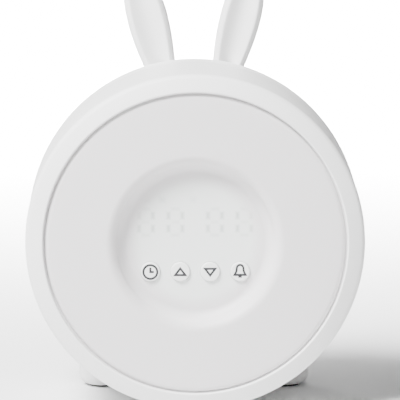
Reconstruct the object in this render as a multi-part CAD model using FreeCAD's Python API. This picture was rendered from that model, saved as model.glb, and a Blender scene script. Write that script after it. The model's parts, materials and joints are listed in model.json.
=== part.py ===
import FreeCAD, Part
import math
import os

# Kids alarm clock with a night light: a round drum standing on two rear feet and two low front
# feet, with two rabbit ears on its rear edge. Millimetres. Pieces are modelled about the drum's
# axis: X to the right, Y the depth behind the front ring, Z the height above the axis.

# Drum
BODY_RADIUS = 72.0
BODY_DEPTH = 74.5
WALL = 2.4
FLOOR_CLEARANCE = 1.0
PARTING_DEPTH = 50.0
PARTING_GAP = 0.3
SHOULDER_RADIUS = 17.0
TONGUE_LENGTH = 3.0
TONGUE_THICKNESS = 1.1
FIT_GAP = 0.1

# Front ring
RING_WIDTH = 7.6
RING_THICKNESS = 4.6
RING_BEVEL_DROP = 3.0
RING_CORNER_RADIUS = 3.0
RING_LIP_RADIUS = 0.6

# Front diffuser
DIFFUSER_GAP = 0.5
DIFFUSER_WALL = 1.8
DIFFUSER_SETBACK = 0.5
DIFFUSER_CROWN_RADIUS = 1800.0
DIFFUSER_EDGE_RADIUS = 2.2
FLANGE_WIDTH = 3.4
FLANGE_THICKNESS = 1.6
DISH_MOUTH_RADIUS = 38.0
DISH_DEPTH = 7.5

# Display window
WINDOW_RADIUS = 28.9
WINDOW_THICKNESS = 1.2
WINDOW_LEDGE = 1.6
LEDGE_THICKNESS = 1.6

# Buttons
BUTTON_PITCH = 12.7
BUTTON_HEIGHT = -13.0
BUTTON_RADIUS = 4.2
BUTTON_STAND_OUT = 1.0
BUTTON_TRAVEL = 0.8
BUTTON_EDGE_RADIUS = 0.6
BUTTON_CLEARANCE = 0.15
COLLAR_RADIUS = 5.0
COLLAR_THICKNESS = 0.8
STEM_RADIUS = 2.2
GUIDE_THICKNESS = 1.4
GUIDE_HEIGHT = 10.0
GUIDE_MARGIN = 6.0
RUNNING_CLEARANCE = 0.08
PLUNGER_RADIUS = 1.7
PLUNGER_REACH = 1.4
SWITCH_SIZE = 6.0
SWITCH_HEIGHT = 3.6

# Display and its board
DISPLAY_HEIGHT = 8.3
DISPLAY_GAP = 0.9
DISPLAY_WIDTH = 50.3
DISPLAY_TALL = 19.0
DISPLAY_DEPTH = 8.5
DIGIT_WIDTH = 7.2
DIGIT_TALL = 12.7
DIGIT_PITCH = 12.5
COLON_GAP = 16.8
SEGMENT_WIDTH = 1.5
SEGMENT_THICKNESS = 0.4
COLON_RISE = 2.54
BOARD_THICKNESS = 1.2
DISPLAY_BOARD_RADIUS = 31.5
BOARD_PAD_HEIGHT = 0.6

# Reflector pan and night-light ring
PAN_WALL = 1.6
PAN_RIM_WIDTH = 6.6
PAN_TAPER = 5.0
SHIELD_RADIUS = 33.8
SHIELD_WALL = 1.2
LIGHT_BOARD_GAP = 6.2
LIGHT_BOARD_MARGIN = 2.2
LAMP_COUNT = 24
LAMP_LENGTH = 3.5
LAMP_WIDTH = 2.8
LAMP_HEIGHT = 1.2

# Screws and their posts
SCREW_RADIUS = 1.2
SCREW_HEAD_RADIUS = 2.3
SCREW_HEAD_HEIGHT = 1.6
SCREW_LENGTH = 5.0
CASE_SCREW_LENGTH = 12.0
SCREW_GAP = 0.06
POST_RADIUS = 2.9
POST_START = 12.0
SCREW_SEAT = 3.0
SCREW_TUBE_WALL = 1.2
PILOT_SPARE = 1.0
POST_EMBED = 0.5
BOARD_EDGE_MARGIN = 1.0
CASE_SCREW_ANGLE = 30.0

# Ears
EAR_SPREAD = 15.3
EAR_LEAN = 14.7
EAR_SETBACK = 9.5
EAR_LENGTH = 42.0
EAR_BASE_WIDTH = 13.4
EAR_WIDTH = 17.7
EAR_WIDEST_AT = 19.0
EAR_THICKNESS = 11.0
SCOOP_WIDTH = 11.4
SCOOP_DEPTH = 3.4
SCOOP_MARGIN = 4.0
SCOOP_START = 2.0
SCOOP_START_WIDTH = 1.2
PEG_RADIUS = 3.2
PEG_LENGTH = 9.0
EAR_ROOT_RATIO = 0.8

# Rear feet
FOOT_SPREAD = 40.0
FOOT_SETBACK = 11.0
FOOT_RADIUS = 10.5
FOOT_CORNER_RADIUS = 4.5
FOOT_HEIGHT = 23.0
FOOT_TOP_RADIUS = 9.0
FOOT_BOSS_RADIUS = 4.5
FOOT_BOSS_HEIGHT = 5.0
FOOT_SCREW_LENGTH = 16.0
SOLE_RADIUS = 6.0
SOLE_THICKNESS = 1.3
SOLE_STAND_OUT = 0.7

# Front feet
FRONT_FOOT_SPREAD = 16.0
FRONT_FOOT_DEPTH = 14.0
FRONT_FOOT_RADIUS = 4.5
FRONT_FOOT_RECESS = 0.9

# Speaker
SPEAKER_HEIGHT = 27.0
SPEAKER_RADIUS = 18.0
SPEAKER_DEPTH = 8.0
SPEAKER_FLANGE = 1.2
CONE_RADIUS = 15.0
CONE_THICKNESS = 0.5
MAGNET_RADIUS = 9.0
MAGNET_HEIGHT = 4.0
GRILLE_RADIUS = 14.0
GRILLE_SLOT = 2.0
GRILLE_PITCH = 4.0
SPEAKER_PILOT = 0.8

# Main board and inlet
MAIN_BOARD_X = 35.0
MAIN_BOARD_GAP = 1.25
MAIN_BOARD_WIDTH = 28.0
MAIN_BOARD_TALL = 36.0
MAIN_BOARD_SPACE = 9.0
BOARD_POST_RADIUS = 2.6
BOARD_POST_INSET = 3.4
INLET_DROP = 10.0
INLET_WIDTH = 9.2
INLET_TALL = 3.4
INLET_WALL = 0.4
INLET_RECESS = 1.0
INLET_CORNER = 1.36
INLET_FLOOR = 1.2
INLET_TONGUE_WIDTH = 6.0
INLET_TONGUE_THICKNESS = 0.7
INLET_TONGUE_SETBACK = 1.0

# Parts on the main board
CHIP_HEIGHT = 1.4
CHIP_SPREAD = 8.0
CONTROLLER_SIZE = 9.0
CONTROLLER_RISE = 6.5
MEMORY_WIDTH = 4.0
MEMORY_TALL = 5.0
MEMORY_DROP = 2.0
QUARTZ_WIDTH = 3.0
QUARTZ_TALL = 8.0
QUARTZ_HEIGHT = 2.0
TANK_RADIUS = 2.5
TANK_PITCH = 6.0
TANK_HEIGHT = 6.0
TANK_DROP = 13.0

# Battery box
CELL_RADIUS = 5.25
CELL_LENGTH = 44.5
CELL_COUNT = 3
CELL_GAP = 0.8
CELL_TIP_RADIUS = 1.9
CELL_TIP_LENGTH = 0.8
BOX_WALL = 1.4
SPRING_SPACE = 4.0
SPRING_FOOT_RATIO = 0.8
SPRING_CREST_RATIO = 0.3
CONTACT_DEEP_RATIO = 0.8
CONTACT_TALL_RATIO = 0.7
BATTERY_HEIGHT = -24.0
DOOR_THICKNESS = 1.6
DOOR_GAP = 0.25
DOOR_LIP = 1.6
DOOR_CORNER_RADIUS = 2.5
DOOR_SCREW_SPACE = 7.0

# Leads
RIBBON_THICKNESS = 0.3
DISPLAY_RIBBON_WIDTH = 8.0
LIGHT_RIBBON_WIDTH = 4.0
RIBBON_SLACK = 6.0
SOCKET_HEIGHT = 2.5
SOCKET_DEPTH = 4.0

# Places worked out from the sizes above
INNER_RADIUS = BODY_RADIUS - WALL
RING_INNER_RADIUS = BODY_RADIUS - RING_WIDTH
AXIS_HEIGHT = BODY_RADIUS + FLOOR_CLEARANCE
DIFFUSER_RADIUS = RING_INNER_RADIUS - DIFFUSER_GAP
FLANGE_RADIUS = DIFFUSER_RADIUS + FLANGE_WIDTH
PAN_FRONT = RING_THICKNESS + FLANGE_THICKNESS
DISH_FLOOR = DIFFUSER_SETBACK + DISH_DEPTH
WINDOW_BACK = DISH_FLOOR + WINDOW_THICKNESS
LEDGE_BACK = WINDOW_BACK + LEDGE_THICKNESS
DISPLAY_FRONT = LEDGE_BACK + DISPLAY_GAP
BOARD_FRONT = DISPLAY_FRONT + DISPLAY_DEPTH
BOARD_BACK = BOARD_FRONT + BOARD_THICKNESS
PAN_FLOOR = BOARD_BACK + BOARD_PAD_HEIGHT
PAN_BACK = PAN_FLOOR + PAN_WALL
PAN_RIM_RADIUS = FLANGE_RADIUS + DIFFUSER_GAP
PAN_FLOOR_RADIUS = PAN_RIM_RADIUS - PAN_RIM_WIDTH - PAN_TAPER
LIGHT_BOARD_INNER = SHIELD_RADIUS + LIGHT_BOARD_GAP
LIGHT_BOARD_OUTER = PAN_FLOOR_RADIUS - LIGHT_BOARD_MARGIN
SWITCH_FRONT = BOARD_FRONT - SWITCH_HEIGHT
BACK_INSIDE = BODY_DEPTH - WALL
POST_CIRCLE = INNER_RADIUS - POST_RADIUS + POST_EMBED
BAY_WIDTH = CELL_LENGTH + CELL_TIP_LENGTH + SPRING_SPACE
BAY_TALL = CELL_COUNT * 2 * CELL_RADIUS + (CELL_COUNT + 1) * CELL_GAP
MAIN_BOARD_Z = BATTERY_HEIGHT + BAY_TALL / 2 + BOX_WALL + MAIN_BOARD_GAP + MAIN_BOARD_TALL / 2
MAIN_BOARD_BACK = BACK_INSIDE - MAIN_BOARD_SPACE
MAIN_BOARD_FRONT = MAIN_BOARD_BACK - BOARD_THICKNESS
EAR_DEPTH = BODY_DEPTH - EAR_SETBACK
FOOT_DEPTH = BODY_DEPTH - FOOT_SETBACK
BUTTON_X = [(i - 1.5) * BUTTON_PITCH for i in range(4)]
CASE_ANGLES = [CASE_SCREW_ANGLE, 180 - CASE_SCREW_ANGLE, 180 + CASE_SCREW_ANGLE, -CASE_SCREW_ANGLE]
PAN_ANGLES = [0.0, 90.0, 180.0, 270.0]
DISPLAY_SCREW_ANGLES = [200.0, 340.0, 270.0]
SPEAKER_ANGLES = [90.0, 210.0, 330.0]

os.makedirs("parts", exist_ok=True)


# Helpers

def vec(x, y, z):
    return FreeCAD.Vector(x, y, z)


def save(name, shape):
    """Write one node, moved so that the floor is at zero and the depth is centred."""
    placed = shape.copy()
    placed.translate(vec(0, -BODY_DEPTH / 2, AXIS_HEIGHT))
    placed.exportStep("parts/" + name + ".step")


def spin(points):
    """Solid turned about the drum's axis from corners given as radius and depth."""
    corners = [vec(r, d, 0) for r, d in points]
    face = Part.Face(Part.makePolygon(corners + corners[:1]))
    return face.revolve(vec(0, 0, 0), vec(0, 1, 0), 360)


def rod(radius, x, z, start, end):
    """Cylinder along the depth."""
    return Part.makeCylinder(radius, end - start, vec(x, start, z), vec(0, 1, 0))


def block(x0, x1, y0, y1, z0, z1):
    return Part.makeBox(x1 - x0, y1 - y0, z1 - z0, vec(x0, y0, z0))


def centred_block(x, z, width, tall, start, end):
    return block(x - width / 2, x + width / 2, start, end, z - tall / 2, z + tall / 2)


def polar(radius, angle):
    """Place on a circle about the axis: across and up."""
    turn = math.radians(angle)
    return radius * math.cos(turn), radius * math.sin(turn)


def round_circles(shape, radius, depth, circle_radius):
    """Fillet the circular edge that lies at this depth and has this radius."""
    picked = []
    for edge in shape.Edges:
        curve = edge.Curve
        if not isinstance(curve, Part.Circle):
            continue
        if abs(curve.Radius - circle_radius) < 1e-4 and abs(curve.Center.y - depth) < 1e-4:
            picked.append(edge)
    return shape.makeFillet(radius, picked)


def fuse_all(first, others):
    return first.multiFuse(list(others)).removeSplitter()


def screw(x, z, seat, length, direction=1):
    """Pan-head screw along the depth, its head seated at this depth and its shank going on."""
    shank = Part.makeCylinder(SCREW_RADIUS, length, vec(x, seat, z), vec(0, direction, 0))
    head = Part.makeCylinder(SCREW_HEAD_RADIUS, SCREW_HEAD_HEIGHT, vec(x, seat, z), vec(0, -direction, 0))
    return shank.fuse(head)


def barrel_height(x, radius=BODY_RADIUS):
    """Height of the drum's wall above the axis at this distance to the side."""
    return math.sqrt(radius * radius - x * x)


# Drum

def drum_outside():
    """The drum's outer form, with the rear shoulder rounded."""
    solid = spin([(0, 0), (BODY_RADIUS, 0), (BODY_RADIUS, BODY_DEPTH), (0, BODY_DEPTH)])
    return round_circles(solid, SHOULDER_RADIUS, BODY_DEPTH, BODY_RADIUS)


def drum_inside():
    """The hollow of the rear cover, one wall inside the drum's outer form."""
    solid = spin([(0, PARTING_DEPTH - TONGUE_LENGTH), (INNER_RADIUS, PARTING_DEPTH - TONGUE_LENGTH),
                  (INNER_RADIUS, BACK_INSIDE), (0, BACK_INSIDE)])
    return round_circles(solid, SHOULDER_RADIUS - WALL, BACK_INSIDE, INNER_RADIUS)


def front_foot_places():
    return [-FRONT_FOOT_SPREAD, FRONT_FOOT_SPREAD]


def front_foot_seat():
    """Height of the flat floor of a front foot's recess."""
    return -barrel_height(FRONT_FOOT_SPREAD) + FRONT_FOOT_RECESS


def front_housing():
    """Ring and barrel in one moulding, with screw posts and pan bosses inside."""
    tongue_seat = INNER_RADIUS + TONGUE_THICKNESS + FIT_GAP
    tongue_stop = PARTING_DEPTH - TONGUE_LENGTH - PARTING_GAP
    shell = spin([(RING_INNER_RADIUS, 0), (BODY_RADIUS, RING_BEVEL_DROP), (BODY_RADIUS, PARTING_DEPTH),
                  (tongue_seat, PARTING_DEPTH), (tongue_seat, tongue_stop), (INNER_RADIUS, tongue_stop),
                  (INNER_RADIUS, RING_THICKNESS), (RING_INNER_RADIUS, RING_THICKNESS)])
    shell = round_circles(shell, RING_CORNER_RADIUS, RING_BEVEL_DROP, BODY_RADIUS)
    shell = round_circles(shell, RING_LIP_RADIUS, 0, RING_INNER_RADIUS)
    added = []
    drilled = []
    for angle in CASE_ANGLES:
        x, z = polar(POST_CIRCLE, angle)
        added.append(rod(POST_RADIUS, x, z, POST_START, tongue_stop))
        added.append(rod(POST_RADIUS - TONGUE_THICKNESS, x, z, tongue_stop, PARTING_DEPTH))
        drilled.append(rod(SCREW_RADIUS + SCREW_GAP, x, z, PARTING_DEPTH - CASE_SCREW_LENGTH, PARTING_DEPTH))
    for angle in PAN_ANGLES:
        x, z = polar(POST_CIRCLE, angle)
        added.append(rod(POST_RADIUS, x, z, RING_THICKNESS, PAN_FRONT))
        pilot_end = PAN_FRONT + PAN_WALL - SCREW_LENGTH
        drilled.append(rod(SCREW_RADIUS + SCREW_GAP, x, z, pilot_end, PAN_FRONT))
    for x in front_foot_places():
        recess_floor = vec(x, FRONT_FOOT_DEPTH, -BODY_RADIUS - FLOOR_CLEARANCE)
        recess = Part.makeCylinder(FRONT_FOOT_RADIUS + FIT_GAP, front_foot_seat() - recess_floor.z, recess_floor)
        drilled.append(recess)
    outside = spin([(0, 0), (BODY_RADIUS - WALL / 2, 0), (BODY_RADIUS - WALL / 2, PARTING_DEPTH),
                    (0, PARTING_DEPTH)])
    posts = [piece.common(outside) for piece in added]
    return fuse_all(shell, posts).cut(Part.makeCompound(drilled))


def front_feet():
    feet = []
    for x in front_foot_places():
        floor = -AXIS_HEIGHT
        foot = Part.makeCylinder(FRONT_FOOT_RADIUS, front_foot_seat() - floor, vec(x, FRONT_FOOT_DEPTH, floor))
        low_edges = [e for e in foot.Edges if abs(e.CenterOfMass.z - floor) < 1e-4]
        feet.append(foot.makeFillet(FRONT_FOOT_RECESS, low_edges))
    return Part.makeCompound(feet)


# Ears: each is modelled upright at the origin, then leaned and set on the shoulder

def ear_seat_height():
    return barrel_height(EAR_SPREAD)


def place_ear(shape, side):
    placed = shape.copy()
    placed.rotate(vec(0, 0, 0), vec(0, 1, 0), side * EAR_LEAN)
    placed.translate(vec(side * EAR_SPREAD, EAR_DEPTH, ear_seat_height()))
    return placed


def leaf(root, base_half, half, widest_at, tip, thickness_ratio):
    """Leaf turned from its outline, then flattened from front to back."""
    outline = Part.BSplineCurve()
    outline.interpolate(Points=[vec(base_half, 0, root), vec(half, 0, widest_at), vec(0, 0, tip)],
                        Tangents=[vec(half - base_half, 0, widest_at - root), vec(0, 0, widest_at - root),
                                  vec(-half, 0, 0)],
                        TangentFlags=[True, True, True])
    corners = [vec(0, 0, tip), vec(0, 0, root), vec(base_half, 0, root)]
    wire = Part.Wire([outline.toShape(), Part.makeLine(corners[0], corners[1]),
                      Part.makeLine(corners[1], corners[2])])
    solid = Part.Face(wire).revolve(vec(0, 0, 0), vec(0, 0, 1), 360)
    flatten = FreeCAD.Matrix()
    flatten.scale(1.0, thickness_ratio, 1.0)
    return solid.transformGeometry(flatten)


def ear_body():
    """Ear with the hollow front, its root still running down through the shell."""
    root = -EAR_WIDTH
    body = leaf(root, EAR_BASE_WIDTH / 2 * EAR_ROOT_RATIO, EAR_WIDTH / 2, EAR_WIDEST_AT, EAR_LENGTH,
                EAR_THICKNESS / EAR_WIDTH)
    scoop = leaf(SCOOP_START, SCOOP_START_WIDTH / 2, SCOOP_WIDTH / 2, EAR_WIDEST_AT,
                 EAR_LENGTH - SCOOP_MARGIN, 2 * SCOOP_DEPTH / SCOOP_WIDTH)
    scoop.translate(vec(0, -EAR_THICKNESS / 2, 0))
    return body.cut(scoop)


def ear(side, outside):
    """Ear trimmed to the drum's surface, with the peg that goes through the shell."""
    body = place_ear(ear_body(), side).cut(outside)
    peg = Part.makeCylinder(PEG_RADIUS, PEG_LENGTH + EAR_WIDEST_AT / 2, vec(0, 0, -PEG_LENGTH))
    pilot = Part.makeCylinder(SCREW_RADIUS + SCREW_GAP, SCREW_LENGTH, vec(0, 0, -PEG_LENGTH))
    return body.fuse(place_ear(peg, side)).cut(place_ear(pilot, side))


def ear_screw(side):
    """Screw with a washer head that draws the peg down on the inside of the shell."""
    shank = Part.makeCylinder(SCREW_RADIUS, SCREW_LENGTH, vec(0, 0, -PEG_LENGTH))
    washer = Part.makeCylinder(PEG_RADIUS + SCREW_HEAD_HEIGHT, SCREW_HEAD_HEIGHT / 2,
                               vec(0, 0, -PEG_LENGTH - SCREW_HEAD_HEIGHT / 2))
    head = Part.makeCylinder(SCREW_HEAD_RADIUS, SCREW_HEAD_HEIGHT, vec(0, 0, -PEG_LENGTH - SCREW_HEAD_HEIGHT))
    return place_ear(shank.fuse([washer, head]), side)


def ear_sleeve(side):
    """Sleeve inside the shell that the peg fits, as deep as the peg."""
    sleeve = Part.makeCylinder(PEG_RADIUS + SCREW_HEAD_HEIGHT, PEG_LENGTH, vec(0, 0, -PEG_LENGTH))
    return place_ear(sleeve, side)


def ear_bore(side):
    bore = Part.makeCylinder(PEG_RADIUS + FIT_GAP, PEG_LENGTH + EAR_WIDEST_AT, vec(0, 0, -PEG_LENGTH))
    return place_ear(bore, side)


# Rear feet

def foot_boss_top():
    """Height of the flat inside boss that a foot's screw head sits on."""
    return -barrel_height(FOOT_SPREAD + FOOT_BOSS_RADIUS, INNER_RADIUS) + FOOT_BOSS_HEIGHT


def foot_boss(side):
    base = vec(side * FOOT_SPREAD, FOOT_DEPTH, -BODY_RADIUS)
    return Part.makeCylinder(FOOT_BOSS_RADIUS, foot_boss_top() + BODY_RADIUS, base)


def foot_hole(side, radius):
    start = foot_boss_top() - FOOT_SCREW_LENGTH
    return Part.makeCylinder(radius, FOOT_SCREW_LENGTH, vec(side * FOOT_SPREAD, FOOT_DEPTH, start))


def rear_foot(side, outside):
    """Round stub with a soft lower edge and a domed top, trimmed to the drum."""
    bottom = -AXIS_HEIGHT + SOLE_STAND_OUT
    centre = vec(side * FOOT_SPREAD, FOOT_DEPTH, bottom)
    stub = Part.makeCylinder(FOOT_RADIUS, FOOT_HEIGHT, centre)
    low_edges = [e for e in stub.Edges if abs(e.CenterOfMass.z - bottom) < 1e-4]
    stub = stub.makeFillet(FOOT_CORNER_RADIUS, low_edges)
    top_edges = [e for e in stub.Edges if abs(e.CenterOfMass.z - bottom - FOOT_HEIGHT) < 1e-4]
    stub = stub.makeFillet(FOOT_TOP_RADIUS, top_edges)
    recess = Part.makeCylinder(SOLE_RADIUS + FIT_GAP / 2, SOLE_THICKNESS - SOLE_STAND_OUT, centre)
    pilot = foot_hole(side, SCREW_RADIUS + SCREW_GAP)
    pieces = stub.cut(outside).cut(recess).cut(pilot).Solids
    return min(pieces, key=lambda piece: piece.CenterOfMass.z)


def soles():
    made = []
    for side in (-1, 1):
        sole = Part.makeCylinder(SOLE_RADIUS, SOLE_THICKNESS, vec(side * FOOT_SPREAD, FOOT_DEPTH, -AXIS_HEIGHT))
        made.append(sole)
    return Part.makeCompound(made)


def foot_screw(side):
    top = foot_boss_top()
    base = vec(side * FOOT_SPREAD, FOOT_DEPTH, top - FOOT_SCREW_LENGTH)
    shank = Part.makeCylinder(SCREW_RADIUS, FOOT_SCREW_LENGTH, base)
    head = Part.makeCylinder(SCREW_HEAD_RADIUS, SCREW_HEAD_HEIGHT, vec(side * FOOT_SPREAD, FOOT_DEPTH, top))
    return shank.fuse(head)


# Battery box, sized from the cells

def bay_front():
    """Depth of the bay's floor, the side away from the door."""
    return door_inside() - 2 * CELL_RADIUS - 2 * CELL_GAP


def door_inside():
    return BODY_DEPTH - DOOR_THICKNESS


def door_width():
    return BAY_WIDTH + DOOR_SCREW_SPACE


def door_centre():
    return DOOR_SCREW_SPACE / 2


def rounded_block(x, width, tall, start, end, radius):
    """Block at the battery's height with its four corners rounded along the depth."""
    plate = centred_block(x, BATTERY_HEIGHT, width, tall, start, end)
    corners = [e for e in plate.Edges if abs(e.Vertexes[0].Y - e.Vertexes[1].Y) > (end - start) / 2]
    return plate.makeFillet(radius, corners)


def door_form(gap, start, end):
    """Block of the door's outline, made larger by a gap."""
    return rounded_block(door_centre(), door_width() + 2 * gap, BAY_TALL + 2 * gap, start, end,
                         DOOR_CORNER_RADIUS + gap)


def door_screw_place():
    return BAY_WIDTH / 2 + BOX_WALL + SCREW_HEAD_RADIUS + DOOR_GAP


def battery_box(inside):
    """Open tray with a lead-in flange that seats inside the rear cover."""
    width = BAY_WIDTH + 2 * BOX_WALL
    tall = BAY_TALL + 2 * BOX_WALL
    front = bay_front() - BOX_WALL
    body = centred_block(0, BATTERY_HEIGHT, width, tall, front, BACK_INSIDE)
    flange = door_form(BOX_WALL + DOOR_LIP, BACK_INSIDE - BOX_WALL, BACK_INSIDE)
    x = door_screw_place()
    boss = rod(POST_RADIUS, x, BATTERY_HEIGHT, BACK_INSIDE - 2 * SCREW_LENGTH, BACK_INSIDE)
    bay = centred_block(0, BATTERY_HEIGHT, BAY_WIDTH, BAY_TALL, bay_front(), BODY_DEPTH)
    pilot = rod(SCREW_RADIUS + SCREW_GAP, x, BATTERY_HEIGHT, BACK_INSIDE - SCREW_LENGTH - PILOT_SPARE, BACK_INSIDE)
    return fuse_all(body, [flange, boss]).common(inside).cut(bay).cut(pilot)


def cell_height(index):
    return BATTERY_HEIGHT + (index - (CELL_COUNT - 1) / 2) * (2 * CELL_RADIUS + CELL_GAP)


def cell_side(index):
    """Cells lie turn about: 1 has its tip to the right, -1 to the left."""
    return 1 if index % 2 == 0 else -1


def cell_depth():
    return bay_front() + CELL_GAP + CELL_RADIUS


def cells():
    made = []
    for index in range(CELL_COUNT):
        side = cell_side(index)
        tip_end = side * (BAY_WIDTH / 2 - RIBBON_THICKNESS)
        start = vec(tip_end - side * CELL_TIP_LENGTH, cell_depth(), cell_height(index))
        can = Part.makeCylinder(CELL_RADIUS, CELL_LENGTH - CELL_TIP_LENGTH, start, vec(-side, 0, 0))
        tip = Part.makeCylinder(CELL_TIP_RADIUS, CELL_TIP_LENGTH, start, vec(side, 0, 0))
        made.append(can.fuse(tip))
    return Part.makeCompound(made)


def contact_plates():
    """Thin plates on both end walls of the bay, one behind each cell end."""
    half_deep = CELL_RADIUS * CONTACT_DEEP_RATIO
    half_tall = CELL_RADIUS * CONTACT_TALL_RATIO
    made = []
    for index in range(CELL_COUNT):
        for side in (-1, 1):
            wall = side * BAY_WIDTH / 2
            inner = wall - side * RIBBON_THICKNESS
            plate = centred_block((wall + inner) / 2, cell_height(index), RIBBON_THICKNESS, 2 * half_tall,
                                  cell_depth() - half_deep, cell_depth() + half_deep)
            made.append(plate)
    return Part.makeCompound(made)


def springs():
    """Folded leaf spring between each cell's flat end and its contact plate."""
    made = []
    half = CELL_RADIUS * SPRING_FOOT_RATIO
    crest_half = CELL_RADIUS * SPRING_CREST_RATIO
    for index in range(CELL_COUNT):
        side = cell_side(index)
        plate = -side * (BAY_WIDTH / 2 - RIBBON_THICKNESS)
        cell_end = side * (BAY_WIDTH / 2 - RIBBON_THICKNESS - CELL_LENGTH)
        crest = cell_end - side * RIBBON_THICKNESS
        middle = cell_depth()
        lower = [(plate, middle - half), (crest, middle - crest_half), (crest, middle + crest_half),
                 (plate, middle + half)]
        upper = [(x + side * RIBBON_THICKNESS, depth) for x, depth in reversed(lower)]
        corners = [vec(x, depth, cell_height(index) - CELL_RADIUS / 2) for x, depth in lower + upper]
        face = Part.Face(Part.makePolygon(corners + corners[:1]))
        made.append(face.extrude(vec(0, 0, CELL_RADIUS)))
    return Part.makeCompound(made)


def battery_door():
    """Flat door with a locating rim and the hole for its captive screw."""
    plate = door_form(0, door_inside(), BODY_DEPTH)
    rim = rounded_block(0, BAY_WIDTH - 2 * DOOR_GAP, BAY_TALL - 2 * DOOR_GAP,
                        door_inside() - CELL_GAP / 2, door_inside(), DOOR_CORNER_RADIUS)
    x = door_screw_place()
    hole = rod(SCREW_RADIUS + SCREW_GAP, x, BATTERY_HEIGHT, BACK_INSIDE, BODY_DEPTH)
    sink = rod(SCREW_HEAD_RADIUS + SCREW_GAP, x, BATTERY_HEIGHT, BODY_DEPTH - DOOR_THICKNESS / 2, BODY_DEPTH)
    return fuse_all(plate, [rim]).cut(hole).cut(sink)


def battery_door_screw():
    x = door_screw_place()
    seat = BODY_DEPTH - DOOR_THICKNESS / 2
    shank = rod(SCREW_RADIUS, x, BATTERY_HEIGHT, BACK_INSIDE - SCREW_LENGTH, seat)
    return shank.fuse(rod(SCREW_HEAD_RADIUS, x, BATTERY_HEIGHT, seat, BODY_DEPTH))


# Rear cover

def main_board_posts():
    half_width = MAIN_BOARD_WIDTH / 2 - BOARD_POST_INSET
    half_tall = MAIN_BOARD_TALL / 2 - BOARD_POST_INSET
    return [(MAIN_BOARD_X - half_width, MAIN_BOARD_Z + half_tall),
            (MAIN_BOARD_X + half_width, MAIN_BOARD_Z + half_tall),
            (MAIN_BOARD_X + half_width, MAIN_BOARD_Z - INLET_DROP / 2)]


def speaker_posts():
    return [polar(SPEAKER_RADIUS + POST_RADIUS, angle) for angle in SPEAKER_ANGLES]


def grille_slots():
    """Straight sound slots with round ends, filling a circle over the speaker."""
    slots = []
    rows = int(GRILLE_RADIUS / GRILLE_PITCH)
    for row in range(-rows, rows + 1):
        z = SPEAKER_HEIGHT + row * GRILLE_PITCH
        half = math.sqrt(GRILLE_RADIUS ** 2 - (row * GRILLE_PITCH) ** 2) - GRILLE_SLOT / 2
        half = max(half, GRILLE_SLOT)
        bar = centred_block(0, z, 2 * half, GRILLE_SLOT, BACK_INSIDE, BODY_DEPTH)
        ends = [rod(GRILLE_SLOT / 2, end, z, BACK_INSIDE, BODY_DEPTH) for end in (-half, half)]
        slots.append(fuse_all(bar, ends))
    return Part.makeCompound(slots)


def inlet_place():
    return MAIN_BOARD_X, MAIN_BOARD_Z - INLET_DROP


def rear_cover(outside, inside):
    """Domed rear moulding: tongue, screw tubes, sleeves, posts, grille, inlet and battery opening."""
    behind = spin([(0, PARTING_DEPTH + PARTING_GAP), (2 * BODY_RADIUS, PARTING_DEPTH + PARTING_GAP),
                   (2 * BODY_RADIUS, 2 * BODY_DEPTH), (0, 2 * BODY_DEPTH)])
    tongue = spin([(INNER_RADIUS, PARTING_DEPTH - TONGUE_LENGTH),
                   (INNER_RADIUS + TONGUE_THICKNESS, PARTING_DEPTH - TONGUE_LENGTH),
                   (INNER_RADIUS + TONGUE_THICKNESS, PARTING_DEPTH + 2 * PARTING_GAP),
                   (INNER_RADIUS, PARTING_DEPTH + 2 * PARTING_GAP)])
    post_room = [rod(POST_RADIUS + FIT_GAP, *polar(POST_CIRCLE, angle), PARTING_DEPTH - TONGUE_LENGTH,
                     PARTING_DEPTH) for angle in CASE_ANGLES]
    shell = outside.common(behind).cut(inside)
    added = [tongue.cut(Part.makeCompound(post_room))]
    drilled = [grille_slots()]
    for angle in CASE_ANGLES:
        x, z = polar(POST_CIRCLE, angle)
        added.append(rod(SCREW_HEAD_RADIUS + SCREW_TUBE_WALL, x, z, PARTING_DEPTH, BODY_DEPTH).common(outside))
        drilled.append(rod(SCREW_RADIUS + SCREW_GAP, x, z, PARTING_DEPTH, BODY_DEPTH))
        drilled.append(rod(SCREW_HEAD_RADIUS + 2 * FIT_GAP, x, z, PARTING_DEPTH + SCREW_SEAT, BODY_DEPTH))
    for side in (-1, 1):
        added.append(ear_sleeve(side).common(outside))
        added.append(foot_boss(side).common(outside))
        drilled.append(ear_bore(side))
        drilled.append(foot_hole(side, SCREW_RADIUS + SCREW_GAP))
    for x, z in main_board_posts():
        added.append(rod(BOARD_POST_RADIUS, x, z, MAIN_BOARD_BACK, BACK_INSIDE))
        drilled.append(rod(SCREW_RADIUS + SCREW_GAP, x, z, MAIN_BOARD_BACK, MAIN_BOARD_BACK + SCREW_LENGTH))
    for x, z in speaker_posts():
        seat = BACK_INSIDE - SPEAKER_FLANGE
        added.append(rod(POST_RADIUS, x, z + SPEAKER_HEIGHT, seat, BACK_INSIDE).cut(
            rod(SPEAKER_RADIUS + FIT_GAP, 0, SPEAKER_HEIGHT, seat, BACK_INSIDE)))
        drilled.append(rod(SCREW_RADIUS + SCREW_GAP, x, z + SPEAKER_HEIGHT, seat, BACK_INSIDE + SPEAKER_PILOT))
    inlet_x, inlet_z = inlet_place()
    drilled.append(centred_block(inlet_x, inlet_z, INLET_WIDTH + 2 * FIT_GAP, INLET_TALL + 2 * FIT_GAP,
                                 BACK_INSIDE, BODY_DEPTH))
    drilled.append(door_form(DOOR_GAP, BACK_INSIDE, BODY_DEPTH))
    return fuse_all(shell, added).cut(Part.makeCompound(drilled))


# Diffuser and window

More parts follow.
